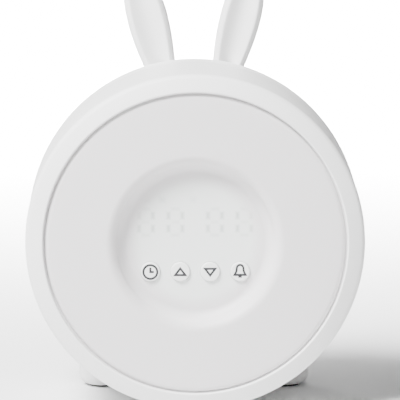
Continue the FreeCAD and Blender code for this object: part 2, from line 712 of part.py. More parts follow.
def diffuser_outline():
    """Closed outline of the milky face: dish, crowned face, skirt and flange."""
    top = DIFFUSER_SETBACK
    spread = DISH_MOUTH_RADIUS - WINDOW_RADIUS - FIT_GAP
    seat = WINDOW_RADIUS + FIT_GAP
    turn = 2 * math.atan(DISH_DEPTH / spread)
    arc_radius = spread / (2 * math.sin(turn))
    outer_centre = (DISH_MOUTH_RADIUS, top + arc_radius)
    inner_centre = (seat, DISH_FLOOR - arc_radius)

    def on_outer(radius, angle):
        return vec(outer_centre[0] - radius * math.sin(angle), outer_centre[1] - radius * math.cos(angle), 0)

    def on_inner(radius, angle):
        return vec(inner_centre[0] + radius * math.sin(angle), inner_centre[1] + radius * math.cos(angle), 0)

    def crown(radius):
        return (radius ** 2 - DISH_MOUTH_RADIUS ** 2) / (2 * DIFFUSER_CROWN_RADIUS)

    wall = DIFFUSER_WALL
    rim = DIFFUSER_RADIUS
    skirt = rim - wall
    middle = (DISH_MOUTH_RADIUS + rim) / 2
    ledge_outer = math.asin(wall / 2 / (arc_radius + wall))
    ledge_out_point = on_inner(arc_radius + wall, ledge_outer)
    edges = []

    def line(a, b):
        edges.append(Part.makeLine(a, b))

    def arc(a, b, c):
        edges.append(Part.Arc(a, b, c).toShape())

    front = [vec(rim, top + crown(rim), 0), vec(middle, top + crown(middle), 0), on_outer(arc_radius, 0)]
    arc(*front)
    arc(on_outer(arc_radius, 0), on_outer(arc_radius, turn / 2), on_outer(arc_radius, turn))
    arc(on_inner(arc_radius, turn), on_inner(arc_radius, turn / 2), on_inner(arc_radius, 0))
    line(vec(seat, DISH_FLOOR, 0), vec(seat, WINDOW_BACK, 0))
    line(vec(seat, WINDOW_BACK, 0), vec(seat - WINDOW_LEDGE, WINDOW_BACK, 0))
    line(vec(seat - WINDOW_LEDGE, WINDOW_BACK, 0), vec(seat - WINDOW_LEDGE, LEDGE_BACK, 0))
    line(vec(seat - WINDOW_LEDGE, LEDGE_BACK, 0), vec(ledge_out_point.x, LEDGE_BACK, 0))
    line(vec(ledge_out_point.x, LEDGE_BACK, 0), ledge_out_point)
    arc(ledge_out_point, on_inner(arc_radius + wall, (turn + ledge_outer) / 2), on_inner(arc_radius + wall, turn))
    arc(on_outer(arc_radius - wall, turn), on_outer(arc_radius - wall, turn / 2), on_outer(arc_radius - wall, 0))
    back = [vec(DISH_MOUTH_RADIUS, top + wall, 0), vec(middle, top + wall + crown(middle), 0),
            vec(skirt, top + wall + crown(skirt), 0)]
    arc(*back)
    line(back[2], vec(skirt, PAN_FRONT, 0))
    line(vec(skirt, PAN_FRONT, 0), vec(FLANGE_RADIUS, PAN_FRONT, 0))
    line(vec(FLANGE_RADIUS, PAN_FRONT, 0), vec(FLANGE_RADIUS, RING_THICKNESS, 0))
    line(vec(FLANGE_RADIUS, RING_THICKNESS, 0), vec(rim, RING_THICKNESS, 0))
    line(vec(rim, RING_THICKNESS, 0), front[0])
    return Part.Wire(edges)


def front_diffuser():
    solid = Part.Face(diffuser_outline()).revolve(vec(0, 0, 0), vec(0, 1, 0), 360)
    edge_depth = DIFFUSER_SETBACK + (DIFFUSER_RADIUS ** 2 - DISH_MOUTH_RADIUS ** 2) / (2 * DIFFUSER_CROWN_RADIUS)
    solid = round_circles(solid, DIFFUSER_EDGE_RADIUS, edge_depth, DIFFUSER_RADIUS)
    cuts = []
    for angle in CASE_ANGLES + PAN_ANGLES:
        notch = rod(POST_RADIUS + 2 * FIT_GAP, *polar(POST_CIRCLE, angle), RING_THICKNESS, PAN_FRONT)
        cuts.append(notch)
    for x in BUTTON_X:
        cuts.append(rod(COLLAR_RADIUS + 2 * BUTTON_CLEARANCE, x, BUTTON_HEIGHT, WINDOW_BACK, LEDGE_BACK))
    return solid.cut(Part.makeCompound(cuts))


def display_window():
    disc = rod(WINDOW_RADIUS, 0, 0, DISH_FLOOR, WINDOW_BACK)
    holes = [rod(BUTTON_RADIUS + BUTTON_CLEARANCE, x, BUTTON_HEIGHT, DISH_FLOOR, WINDOW_BACK) for x in BUTTON_X]
    return disc.cut(Part.makeCompound(holes))


# Buttons and switches

def button(x):
    """Cap with a soft edge, the collar that stops it behind the window, and its stem."""
    front = DISH_FLOOR - BUTTON_STAND_OUT
    cap = rod(BUTTON_RADIUS, x, BUTTON_HEIGHT, front, WINDOW_BACK)
    cap = round_edge_at(cap, front, BUTTON_EDGE_RADIUS)
    collar = rod(COLLAR_RADIUS, x, BUTTON_HEIGHT, WINDOW_BACK, WINDOW_BACK + COLLAR_THICKNESS)
    stem = rod(STEM_RADIUS, x, BUTTON_HEIGHT, WINDOW_BACK, SWITCH_FRONT - PLUNGER_REACH)
    return fuse_all(cap, [collar, stem])


def round_edge_at(shape, depth, radius):
    picked = [edge for edge in shape.Edges if abs(edge.CenterOfMass.y - depth) < 1e-4]
    return shape.makeFillet(radius, picked)


def plunger(x):
    end = BOARD_FRONT - BUTTON_TRAVEL - FIT_GAP
    return rod(PLUNGER_RADIUS, x, BUTTON_HEIGHT, SWITCH_FRONT - PLUNGER_REACH, end)


def switches():
    made = []
    for x in BUTTON_X:
        body = centred_block(x, BUTTON_HEIGHT, SWITCH_SIZE, SWITCH_SIZE, SWITCH_FRONT, BOARD_FRONT)
        bore = rod(PLUNGER_RADIUS + RUNNING_CLEARANCE, x, BUTTON_HEIGHT, SWITCH_FRONT, BOARD_FRONT)
        made.append(body.cut(bore))
    return Part.makeCompound(made)


def button_guide():
    """Plate with four bores that keeps the stems straight, on two legs that stand on the board."""
    width = 3 * BUTTON_PITCH + 2 * STEM_RADIUS + GUIDE_MARGIN
    start = WINDOW_BACK + COLLAR_THICKNESS + BUTTON_TRAVEL + 2 * FIT_GAP
    plate = centred_block(0, BUTTON_HEIGHT, width, GUIDE_HEIGHT, start, start + GUIDE_THICKNESS)
    legs = []
    for side in (-1, 1):
        x = side * (width - GUIDE_THICKNESS) / 2
        legs.append(centred_block(x, BUTTON_HEIGHT, GUIDE_THICKNESS, SWITCH_SIZE, start, BOARD_FRONT))
    bores = [rod(STEM_RADIUS + RUNNING_CLEARANCE, x, BUTTON_HEIGHT, start, start + GUIDE_THICKNESS)
             for x in BUTTON_X]
    return fuse_all(plate, legs).cut(Part.makeCompound(bores))


# Display

def digit_places():
    near = COLON_GAP / 2
    return [-near - DIGIT_PITCH, -near, near, near + DIGIT_PITCH]


def segment(x, z, length, upright):
    """One bar with pointed ends, standing at the face of the display."""
    half = length / 2
    tip = SEGMENT_WIDTH / 2
    outline = [(-half, 0), (-half + tip, tip), (half - tip, tip), (half, 0), (half - tip, -tip), (-half + tip, -tip)]
    if upright:
        outline = [(b, a) for a, b in outline]
    corners = [vec(x + a, DISPLAY_FRONT, z + b) for a, b in outline]
    face = Part.Face(Part.makePolygon(corners + corners[:1]))
    return face.extrude(vec(0, SEGMENT_THICKNESS, 0))


def digit_segments(x):
    across = DIGIT_WIDTH - SEGMENT_WIDTH
    up = (DIGIT_TALL - SEGMENT_WIDTH) / 2
    made = [segment(x, DISPLAY_HEIGHT + row * up, across - FIT_GAP, False) for row in (-1, 0, 1)]
    for side in (-1, 1):
        for row in (-1, 1):
            made.append(segment(x + side * across / 2, DISPLAY_HEIGHT + row * up / 2, up - FIT_GAP, True))
    return made


def display_segments():
    made = []
    for x in digit_places():
        made.extend(digit_segments(x))
    for row in (-1, 1):
        made.append(centred_block(0, DISPLAY_HEIGHT + row * COLON_RISE, SEGMENT_WIDTH, SEGMENT_WIDTH,
                                  DISPLAY_FRONT, DISPLAY_FRONT + SEGMENT_THICKNESS))
    return Part.makeCompound(made)


def display_module(segments):
    body = centred_block(0, DISPLAY_HEIGHT, DISPLAY_WIDTH, DISPLAY_TALL, DISPLAY_FRONT, BOARD_FRONT)
    return body.cut(segments)


def display_board():
    disc = rod(DISPLAY_BOARD_RADIUS, 0, 0, BOARD_FRONT, BOARD_BACK)
    holes = [rod(SCREW_RADIUS + SCREW_GAP, *place, BOARD_FRONT, BOARD_BACK) for place in display_screw_places()]
    return disc.cut(Part.makeCompound(holes))


def display_screw_places():
    circle = DISPLAY_BOARD_RADIUS - SCREW_HEAD_RADIUS - BOARD_EDGE_MARGIN
    return [polar(circle, angle) for angle in DISPLAY_SCREW_ANGLES]


# Reflector pan and light ring

def reflector_pan():
    """White pan behind the diffuser, with the shield that keeps its light off the display."""
    rim = PAN_RIM_RADIUS
    mouth = rim - PAN_RIM_WIDTH
    floor = PAN_FLOOR_RADIUS
    pan = spin([(0, PAN_FLOOR), (floor, PAN_FLOOR), (mouth, PAN_FRONT), (rim, PAN_FRONT),
                (rim, PAN_FRONT + PAN_WALL), (mouth + PAN_WALL, PAN_FRONT + PAN_WALL),
                (floor + PAN_WALL, PAN_BACK), (0, PAN_BACK)])
    shield_inner = SHIELD_RADIUS - SHIELD_WALL
    shield = spin([(shield_inner, LEDGE_BACK), (SHIELD_RADIUS, LEDGE_BACK), (SHIELD_RADIUS, PAN_FLOOR),
                   (shield_inner, PAN_FLOOR)])
    pads = [rod(POST_RADIUS, *place, BOARD_BACK, PAN_FLOOR) for place in display_screw_places()]
    cuts = []
    for angle in CASE_ANGLES:
        cuts.append(rod(POST_RADIUS + 2 * FIT_GAP, *polar(POST_CIRCLE, angle), PAN_FRONT, PAN_BACK))
    for angle in PAN_ANGLES:
        cuts.append(rod(SCREW_RADIUS + SCREW_GAP, *polar(POST_CIRCLE, angle), PAN_FRONT, PAN_BACK))
    for place in display_screw_places():
        cuts.append(rod(SCREW_RADIUS + SCREW_GAP, *place, BOARD_BACK, PAN_BACK + FIT_GAP))
    for x, width in ribbon_lines():
        cuts.append(centred_block(x, ribbon_height(), width + 4 * FIT_GAP, SOCKET_DEPTH + 4 * FIT_GAP,
                                  PAN_FLOOR, PAN_BACK))
    return fuse_all(pan, [shield] + pads).cut(Part.makeCompound(cuts))


def light_board():
    return spin([(LIGHT_BOARD_INNER, PAN_FLOOR - BOARD_THICKNESS), (LIGHT_BOARD_OUTER, PAN_FLOOR - BOARD_THICKNESS),
                 (LIGHT_BOARD_OUTER, PAN_FLOOR), (LIGHT_BOARD_INNER, PAN_FLOOR)])


def night_light_lamps():
    circle = (LIGHT_BOARD_INNER + LIGHT_BOARD_OUTER) / 2
    back = PAN_FLOOR - BOARD_THICKNESS
    made = []
    for index in range(LAMP_COUNT):
        lamp = centred_block(circle, 0, LAMP_WIDTH, LAMP_LENGTH, back - LAMP_HEIGHT, back)
        lamp.rotate(vec(0, 0, 0), vec(0, 1, 0), index * 360 / LAMP_COUNT)
        made.append(lamp)
    return Part.makeCompound(made)


# Speaker

def speaker_basket():
    """Open frame: flat flange at the rear cover, tapered sides and a seat for the magnet."""
    face = BACK_INSIDE
    seat = face - SPEAKER_DEPTH
    wall = SPEAKER_FLANGE
    return shift_up(spin([(CONE_RADIUS, face), (SPEAKER_RADIUS, face), (SPEAKER_RADIUS, face - wall),
                          (CONE_RADIUS + wall, face - wall), (MAGNET_RADIUS + wall, seat), (MAGNET_RADIUS / 2, seat),
                          (MAGNET_RADIUS / 2, seat + wall), (MAGNET_RADIUS, seat + wall), (CONE_RADIUS, face - wall)]))


def speaker_cone():
    face = BACK_INSIDE - SPEAKER_FLANGE
    thick = CONE_THICKNESS
    throat = MAGNET_RADIUS / 2
    low = face - SPEAKER_DEPTH + 3 * SPEAKER_FLANGE
    return shift_up(spin([(0, low), (throat, low), (CONE_RADIUS - FIT_GAP, face), (CONE_RADIUS - FIT_GAP, face + thick),
                          (CONE_RADIUS - 2 * thick, face + thick), (throat, low + thick), (0, low + thick)]))


def speaker_magnet():
    seat = BACK_INSIDE - SPEAKER_DEPTH
    disc = rod(MAGNET_RADIUS, 0, SPEAKER_HEIGHT, seat - MAGNET_HEIGHT, seat)
    return round_edge_at(disc, seat - MAGNET_HEIGHT, BUTTON_EDGE_RADIUS)


def shift_up(shape):
    moved = shape.copy()
    moved.translate(vec(0, 0, SPEAKER_HEIGHT))
    return moved


# Boards and leads

def main_board():
    plate = centred_block(MAIN_BOARD_X, MAIN_BOARD_Z, MAIN_BOARD_WIDTH, MAIN_BOARD_TALL,
                          MAIN_BOARD_FRONT, MAIN_BOARD_BACK)
    holes = [rod(SCREW_RADIUS + SCREW_GAP, x, z, MAIN_BOARD_FRONT, MAIN_BOARD_BACK) for x, z in main_board_posts()]
    return plate.cut(Part.makeCompound(holes))


def on_main_board(across, up, width, tall, height):
    """Block on the front face of the main board, placed from the board's centre."""
    return centred_block(MAIN_BOARD_X + across, MAIN_BOARD_Z + up, width, tall,
                         MAIN_BOARD_FRONT - height, MAIN_BOARD_FRONT)


def board_chips():
    """Controller, memory, quartz and two capacitors on the front of the main board."""
    controller = on_main_board(0, CONTROLLER_RISE, CONTROLLER_SIZE, CONTROLLER_SIZE, CHIP_HEIGHT)
    memory = on_main_board(-CHIP_SPREAD, -MEMORY_DROP, MEMORY_WIDTH, MEMORY_TALL, CHIP_HEIGHT)
    quartz = on_main_board(-CHIP_SPREAD, CONTROLLER_RISE, QUARTZ_WIDTH, QUARTZ_TALL, QUARTZ_HEIGHT)
    tanks = []
    for index in range(2):
        x = MAIN_BOARD_X + (index * TANK_PITCH - TANK_RADIUS)
        tanks.append(rod(TANK_RADIUS, x, MAIN_BOARD_Z - TANK_DROP, MAIN_BOARD_FRONT - TANK_HEIGHT, MAIN_BOARD_FRONT))
    return Part.makeCompound([controller, memory, quartz] + tanks)


def inlet_socket():
    """Metal shell of the power inlet with its contact tongue, standing on the main board."""
    x, z = inlet_place()
    mouth = BODY_DEPTH - INLET_RECESS
    shell = centred_block(x, z, INLET_WIDTH, INLET_TALL, MAIN_BOARD_BACK, mouth)
    along = [e for e in shell.Edges if abs(e.Length - (mouth - MAIN_BOARD_BACK)) < 1e-4]
    shell = shell.makeFillet(INLET_CORNER, along)
    hollow = centred_block(x, z, INLET_WIDTH - 2 * INLET_WALL, INLET_TALL - 2 * INLET_WALL,
                           MAIN_BOARD_BACK + INLET_FLOOR, mouth)
    inner_edges = [e for e in hollow.Edges if abs(e.Length - (mouth - MAIN_BOARD_BACK - INLET_FLOOR)) < 1e-4]
    hollow = hollow.makeFillet(INLET_CORNER - INLET_WALL, inner_edges)
    tongue = centred_block(x, z, INLET_TONGUE_WIDTH, INLET_TONGUE_THICKNESS, MAIN_BOARD_BACK,
                           mouth - INLET_TONGUE_SETBACK)
    return shell.cut(hollow).fuse(tongue)


def ribbon_height():
    return MAIN_BOARD_Z - MAIN_BOARD_TALL / 2 + SOCKET_DEPTH / 2


def ribbon_lines():
    """Across-places and widths of the display ribbon and the light ribbon."""
    left = MAIN_BOARD_X - MAIN_BOARD_WIDTH / 2 + DISPLAY_RIBBON_WIDTH / 2
    right = LIGHT_BOARD_INNER + LIGHT_RIBBON_WIDTH
    return [(left, DISPLAY_RIBBON_WIDTH), (right, LIGHT_RIBBON_WIDTH)]


def socket_starts():
    """Depths of the boards' backs that the two ribbons leave from."""
    return [BOARD_BACK, PAN_FLOOR]


def ribbon_sockets():
    """Board sockets at both ends of each ribbon."""
    made = []
    for (x, width), start in zip(ribbon_lines(), socket_starts()):
        made.append(centred_block(x, ribbon_height(), width, SOCKET_DEPTH, start, start + SOCKET_HEIGHT))
        made.append(centred_block(x, ribbon_height(), width, SOCKET_DEPTH,
                                  MAIN_BOARD_FRONT - SOCKET_HEIGHT, MAIN_BOARD_FRONT))
    return Part.makeCompound(made)


def ribbon(x, width, start):
    """Flat ribbon that hangs in a slack bow between its two sockets."""
    end = MAIN_BOARD_FRONT - SOCKET_HEIGHT
    z = ribbon_height()
    shares = [0, 0.25, 0.5, 0.75, 1]
    route = [(start + (end - start) * share, z - RIBBON_SLACK * math.sin(math.pi * share)) for share in shares]
    lines = []
    for lift in (0, RIBBON_THICKNESS):
        curve = Part.BSplineCurve()
        curve.interpolate([vec(x - width / 2, depth, height + lift) for depth, height in route])
        lines.append(curve.toShape())
    ends = [Part.makeLine(lines[0].Vertexes[k].Point, lines[1].Vertexes[k].Point) for k in (0, 1)]
    face = Part.Face(Part.Wire(Part.__sortEdges__([lines[0], ends[1], lines[1], ends[0]])))
    return face.extrude(vec(width, 0, 0))


# Screws

def inner_screws():
    made = [screw(*polar(POST_CIRCLE, angle), PAN_FRONT + PAN_WALL, SCREW_LENGTH - FIT_GAP, -1)
            for angle in PAN_ANGLES]
    made += [screw(x, z, BOARD_FRONT, BOARD_THICKNESS + BOARD_PAD_HEIGHT + PAN_WALL) for x, z in display_screw_places()]
    made += [screw(x, z, MAIN_BOARD_FRONT, SCREW_LENGTH) for x, z in main_board_posts()]
    for x, z in speaker_posts():
        made.append(screw(x, z + SPEAKER_HEIGHT, BACK_INSIDE - SPEAKER_FLANGE, SPEAKER_FLANGE + SPEAKER_PILOT - FIT_GAP))
    return Part.makeCompound(made)


def case_screws():
    made = []
    for angle in CASE_ANGLES:
        made.append(screw(*polar(POST_CIRCLE, angle), PARTING_DEPTH + SCREW_SEAT, CASE_SCREW_LENGTH, -1))
    return Part.makeCompound(made)


# Build

OUTSIDE = drum_outside()
INSIDE = drum_inside()
SEGMENTS = display_segments()
NAMES = ["clock", "up", "down", "bell"]

save("front_housing", front_housing())
save("rear_cover", rear_cover(OUTSIDE, INSIDE))
save("front_diffuser", front_diffuser())
save("display_window", display_window())
for NAME, X in zip(NAMES, BUTTON_X):
    save("button_" + NAME, button(X))
    save("plunger_" + NAME, plunger(X))
save("switch_housings", switches())
save("button_guide", button_guide())
save("display_segments", SEGMENTS)
save("display_module", display_module(SEGMENTS))
save("display_board", display_board())
save("reflector_pan", reflector_pan())
save("light_board", light_board())
save("night_light_lamps", night_light_lamps())
save("ear_left", ear(-1, OUTSIDE))
save("ear_right", ear(1, OUTSIDE))
save("ear_screws", Part.makeCompound([ear_screw(-1), ear_screw(1)]))
save("rear_foot_left", rear_foot(-1, OUTSIDE))
save("rear_foot_right", rear_foot(1, OUTSIDE))
save("foot_screws", Part.makeCompound([foot_screw(-1), foot_screw(1)]))
save("foot_soles", soles())
save("front_feet", front_feet())
save("speaker_basket", speaker_basket())
save("speaker_cone", speaker_cone())
save("speaker_magnet", speaker_magnet())
save("main_board", main_board())
save("board_chips", board_chips())
save("inlet_socket", inlet_socket())
save("ribbon_sockets", ribbon_sockets())
for NAME, (X, WIDTH), START in zip(["display_ribbon", "light_ribbon"], ribbon_lines(), socket_starts()):
    save(NAME, ribbon(X, WIDTH, START + SOCKET_HEIGHT))
save("battery_box", battery_box(INSIDE))
save("battery_cells", cells())
save("contact_plates", contact_plates())
save("battery_springs", springs())
save("battery_door", battery_door())
save("battery_door_screw", battery_door_screw())
save("inner_screws", inner_screws())
save("case_screws", case_screws())
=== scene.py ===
import json
import math

import bmesh
import bpy
from mathutils import Matrix, Vector


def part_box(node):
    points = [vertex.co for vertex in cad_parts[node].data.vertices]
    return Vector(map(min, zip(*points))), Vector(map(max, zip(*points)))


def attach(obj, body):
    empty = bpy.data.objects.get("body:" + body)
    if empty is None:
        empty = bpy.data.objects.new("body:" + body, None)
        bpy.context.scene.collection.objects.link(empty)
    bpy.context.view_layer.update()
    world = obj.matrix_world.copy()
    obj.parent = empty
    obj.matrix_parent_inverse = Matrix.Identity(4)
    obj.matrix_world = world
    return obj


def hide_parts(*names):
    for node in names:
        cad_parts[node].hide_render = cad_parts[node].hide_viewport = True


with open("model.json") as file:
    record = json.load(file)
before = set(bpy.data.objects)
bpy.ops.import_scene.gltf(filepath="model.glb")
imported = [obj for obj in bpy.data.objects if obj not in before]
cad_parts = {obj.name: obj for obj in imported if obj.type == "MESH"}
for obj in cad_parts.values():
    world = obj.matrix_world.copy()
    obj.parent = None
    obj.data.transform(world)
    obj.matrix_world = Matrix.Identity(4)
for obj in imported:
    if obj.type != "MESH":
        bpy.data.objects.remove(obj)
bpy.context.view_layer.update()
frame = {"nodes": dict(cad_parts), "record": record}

# A round bedside clock for a child's room, with a milky face that lights up and two rabbit ears.
# Lengths are metres in the frame of the solid model: X to the right, Y to the back, Z up.

MM = 0.001


def low(node):
    """Lowest corner of a node's box."""
    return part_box(node)[0]


def high(node):
    """Highest corner of a node's box."""
    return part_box(node)[1]


def middle(node):
    """Middle of a node's box."""
    return (low(node) + high(node)) / 2


# Places read from the frame
AXIS = middle("display_window").z
DRUM_RADIUS = high("front_housing").x
PARTING = high("front_housing").y
BACK = high("rear_cover").y
WINDOW_BACK = high("display_window").y
WINDOW_RADIUS = high("display_window").x
DISH_FLOOR = low("display_window").y
FLANGE_RADIUS = high("front_diffuser").x
BUTTON_FRONT = low("button_up").y
BUTTON_HEIGHT = middle("button_up").z
DISPLAY_MIDDLE = middle("display_segments").z
DIGIT_TALL = high("display_segments").z - low("display_segments").z

# Front ring and barrel
RING_WIDTH = 7.6 * MM
RING_DEPTH = 4.6 * MM
RING_BEVEL = 3.0 * MM
RING_CORNER = 3.0 * MM
RING_LIP = 0.6 * MM
CASE_DEPTH = 74.5 * MM
RING_FRONT = BACK - CASE_DEPTH
WALL = 2.4 * MM
TONGUE = 1.2 * MM
TONGUE_LENGTH = 3.3 * MM
PARTING_CORNER = 0.25 * MM
TONGUE_CORNER = 0.1 * MM
RING_BACK_CORNER = 0.3 * MM

# Milky face
FLANGE_WIDTH = 3.4 * MM
FACE_SETBACK = 0.5 * MM
FACE_EDGE = 2.2 * MM
FACE_CROWN = 1800 * MM
DISH_MOUTH = 38.0 * MM
SKIRT_END = RING_FRONT + 4.5 * MM
FACE_FIT = 0.04 * MM
SHELF_SHARE = 0.95
WINDOW_GAP = 0.1 * MM
WINDOW_RIM = 0.05 * MM
WINDOW_LET_OUT = 0.12 * MM
LEDGE = 1.6 * MM
DISH_BACK_OUT = 4.0 * MM
DISH_BACK_WALL = 2.2 * MM
FACE_WALL = 2.4 * MM
SKIRT_WALL = 1.8 * MM
FACE_STEPS = 24
AROUND = 288

# Camera, from a pinhole fit of the photograph
VIEW_PITCH = math.radians(8.9)
VIEW_TURN = math.radians(-0.6)
VIEW_DISTANCE = 1.650
FOCAL_PIXELS = 3900.0
IMAGE_PIXELS = 400.0
SENSOR_WIDTH = 36.0
RING_CENTRE_PIXEL = (195.3, 243.3)


# Mesh helpers

MERGE_DISTANCE = 0.001 * MM


def mesh_object(name, points, faces, material, smooth=30):
    """Object from points and faces, with merged doubles, outward normals and soft shading."""
    mesh = bpy.data.meshes.new(name)
    mesh.from_pydata([tuple(p) for p in points], [], faces)
    made = bpy.data.objects.new(name, mesh)
    bpy.context.scene.collection.objects.link(made)
    finish_mesh(made, material, smooth)
    return made


def finish_mesh(made, material, smooth=30):
    """Merge doubled points, turn the faces outwards, and shade softly below the angle."""
    work = bmesh.new()
    work.from_mesh(made.data)
    bmesh.ops.remove_doubles(work, verts=work.verts, dist=MERGE_DISTANCE)
    bmesh.ops.recalc_face_normals(work, faces=work.faces)
    work.to_mesh(made.data)
    work.free()
    made.data.materials.clear()
    made.data.materials.append(material)
    made.data.shade_smooth()
    made.data.set_sharp_from_angle(angle=math.radians(smooth))


def rounded(corners, steps=10):
    """Closed outline from corners given as (across, along, radius), each corner rounded by its radius."""
    outline = []
    count = len(corners)
    for index, (across, along, radius) in enumerate(corners):
        corner = Vector((across, along))
        if radius <= 0:
            outline.append(corner)
            continue
        before = (Vector(corners[index - 1][:2]) - corner).normalized()
        after = (Vector(corners[(index + 1) % count][:2]) - corner).normalized()
        half = before.angle(after) / 2
        reach = radius / math.tan(half)
        centre = corner + (before + after).normalized() * radius / math.sin(half)
        start = corner + before * reach - centre
        end = corner + after * reach - centre
        sweep = start.angle_signed(end)
        for step in range(steps + 1):
            turn = -sweep * step / steps
            outline.append(centre + Matrix.Rotation(turn, 2) @ start)
    return outline


def turned(name, outline, material, centre=None, around=192, upright=False, smooth=30):
    """Closed outline of (radius, along) turned about an axis along the depth, or an upright one."""
    centre = centre or Vector((0, 0, AXIS))
    points = []
    faces = []
    rows = len(outline)
    for index in range(around):
        turn = 2 * math.pi * index / around
        for radius, along in outline:
            if upright:
                offset = Vector((radius * math.cos(turn), radius * math.sin(turn), along))
            else:
                offset = Vector((radius * math.cos(turn), along, radius * math.sin(turn)))
            points.append(centre + offset)
    for index in range(around):
        after = (index + 1) % around
        for row in range(rows):
            upper = (row + 1) % rows
            faces.append((index * rows + row, after * rows + row,
                          after * rows + upper, index * rows + upper))
    return mesh_object(name, points, faces, material, smooth)


def from_frame(name, node, material, smooth=28):
    """Smoothly shaded copy of a node of the frame, its loose triangles merged first."""
    made = frame["nodes"][node].copy()
    made.data = frame["nodes"][node].data.copy()
    made.name = name
    made.parent = None
    for key in list(made.keys()):
        del made[key]
    bpy.context.scene.collection.objects.link(made)
    finish_mesh(made, material, smooth)
    return made


def weigh_normals(made):
    """Shading led by the largest faces, so that a flat wall beside a bend shows no streaks."""
    weigh = made.modifiers.new("weigh", "WEIGHTED_NORMAL")
    weigh.keep_sharp = True
    weigh.weight = 100
    bpy.context.view_layer.update()
    result = bpy.data.meshes.new_from_object(made.evaluated_get(bpy.context.evaluated_depsgraph_get()))
    made.modifiers.clear()
    made.data = result


def seat(piece, body, slot, *nodes):
    """Ride on a body and stand for the nodes named; the slot argument is not used."""
    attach(piece, body)
    if nodes:
        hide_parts(*nodes)


# Shader groups

CLOUD_SCALE = 28.0
SCUFF_SCALE = 140.0
GRAIN_HEIGHT = 0.2 * MM
BLEED_RADIUS = (0.004, 0.0038, 0.0036)
GHOST_BLUR = 1.5 * MM
GHOST_TINT = (0.42, 0.46, 0.44, 1)
DIGIT_FIRST = 8.4 * MM
DIGIT_PITCH = 12.5 * MM
DIGIT_HALF_WIDTH = 2.95 * MM
SEGMENT_HALF = 0.75 * MM
# Half width, half height and strength of the middle bar, the top bar and the upright bars
MIDDLE_BAR = (1.3 * MM, 0.35 * MM, 0.35)
TOP_BAR = (1.5 * MM, 0.4 * MM, 0.45)
UPRIGHT_BAR = (0.55 * MM, 1.3 * MM, 1.0)
# Place across and strength of the small indicators above the digits
INDICATORS = ((-20.6 * MM, 0.9), (-14.0 * MM, 0.5), (-0.8 * MM, 0.35))
INDICATOR_RISE = 9.6 * MM
INDICATOR_HALF_WIDTH = 0.8 * MM
INDICATOR_HALF_HEIGHT = 0.7 * MM
INDICATOR_BLUR = 1.5 * GHOST_BLUR
FADE_START = 0.78


def new_group(name, inputs, outputs):
    """Shader group with float or colour sockets; inputs give name, kind and default."""
    tree = bpy.data.node_groups.new(name, "ShaderNodeTree")
    for label, kind, default in inputs:
        socket = tree.interface.new_socket(name=label, in_out="INPUT", socket_type=kind)
        if default is not None:
            socket.default_value = default
    for label, kind in outputs:
        tree.interface.new_socket(name=label, in_out="OUTPUT", socket_type=kind)
    start = tree.nodes.new("NodeGroupInput")
    end = tree.nodes.new("NodeGroupOutput")
    return tree, start, end


def add(tree, kind, **settings):
    """New node of a kind with its settings."""
    node = tree.nodes.new(kind)
    for key, value in settings.items():
        setattr(node, key, value)
    return node


def feed(tree, node, **values):
    """Set or link a node's inputs by name, with underscores for blanks."""
    for key, value in values.items():
        socket = node.inputs[key.replace("_", " ")]
        if isinstance(value, bpy.types.NodeSocket):
            tree.links.new(value, socket)
        else:
            socket.default_value = value


def calc(tree, operation, *values):
    """Math node on numbers or sockets, giving its result socket."""
    node = add(tree, "ShaderNodeMath", operation=operation)
    for socket, value in zip(node.inputs, values):
        if isinstance(value, bpy.types.NodeSocket):
            tree.links.new(value, socket)
        else:
            socket.default_value = value
    return node.outputs[0]


def blend_colours(tree, share, first, second):
    """Mix of two colours by a share from 0 to 1."""
    node = add(tree, "ShaderNodeMix", data_type="RGBA")
    for socket, value in zip((node.inputs[0], node.inputs[6], node.inputs[7]), (share, first, second)):
        if isinstance(value, bpy.types.NodeSocket):
            tree.links.new(value, socket)
        else:
            socket.default_value = value
    return node.outputs[2]


def moulded_surface():
    """Fine grain and faint cloudiness of a moulded plastic skin."""
    tree, start, end = new_group(
        "moulded_surface",
        [("Colour", "NodeSocketColor", (0.8, 0.8, 0.8, 1)),
         ("Shade", "NodeSocketColor", (0.75, 0.75, 0.75, 1)),
         ("Grain Scale", "NodeSocketFloat", 2200.0), ("Roughness", "NodeSocketFloat", 0.5),
         ("Roughness Spread", "NodeSocketFloat", 0.06)],
        [("Colour", "NodeSocketColor"), ("Roughness", "NodeSocketFloat"), ("Height", "NodeSocketFloat")])
    place = add(tree, "ShaderNodeTexCoord")
    cloud = add(tree, "ShaderNodeTexNoise")
    feed(tree, cloud, Vector=place.outputs["Object"], Scale=CLOUD_SCALE, Detail=3.0)
    grain = add(tree, "ShaderNodeTexNoise")
    feed(tree, grain, Vector=place.outputs["Object"], Scale=start.outputs["Grain Scale"], Detail=2.0)
    scuff = add(tree, "ShaderNodeTexNoise")
    feed(tree, scuff, Vector=place.outputs["Object"], Scale=SCUFF_SCALE, Detail=4.0)
    tint = blend_colours(tree, cloud.outputs[0], start.outputs["Colour"], start.outputs["Shade"])
    wander = calc(tree, "SUBTRACT", scuff.outputs[0], 0.5)
    spread = calc(tree, "MULTIPLY", wander, start.outputs["Roughness Spread"])
    rough = calc(tree, "ADD", start.outputs["Roughness"], calc(tree, "MULTIPLY", spread, 2.0))
    tree.links.new(tint, end.inputs["Colour"])
    tree.links.new(rough, end.inputs["Roughness"])
    tree.links.new(grain.outputs[0], end.inputs["Height"])
    return tree


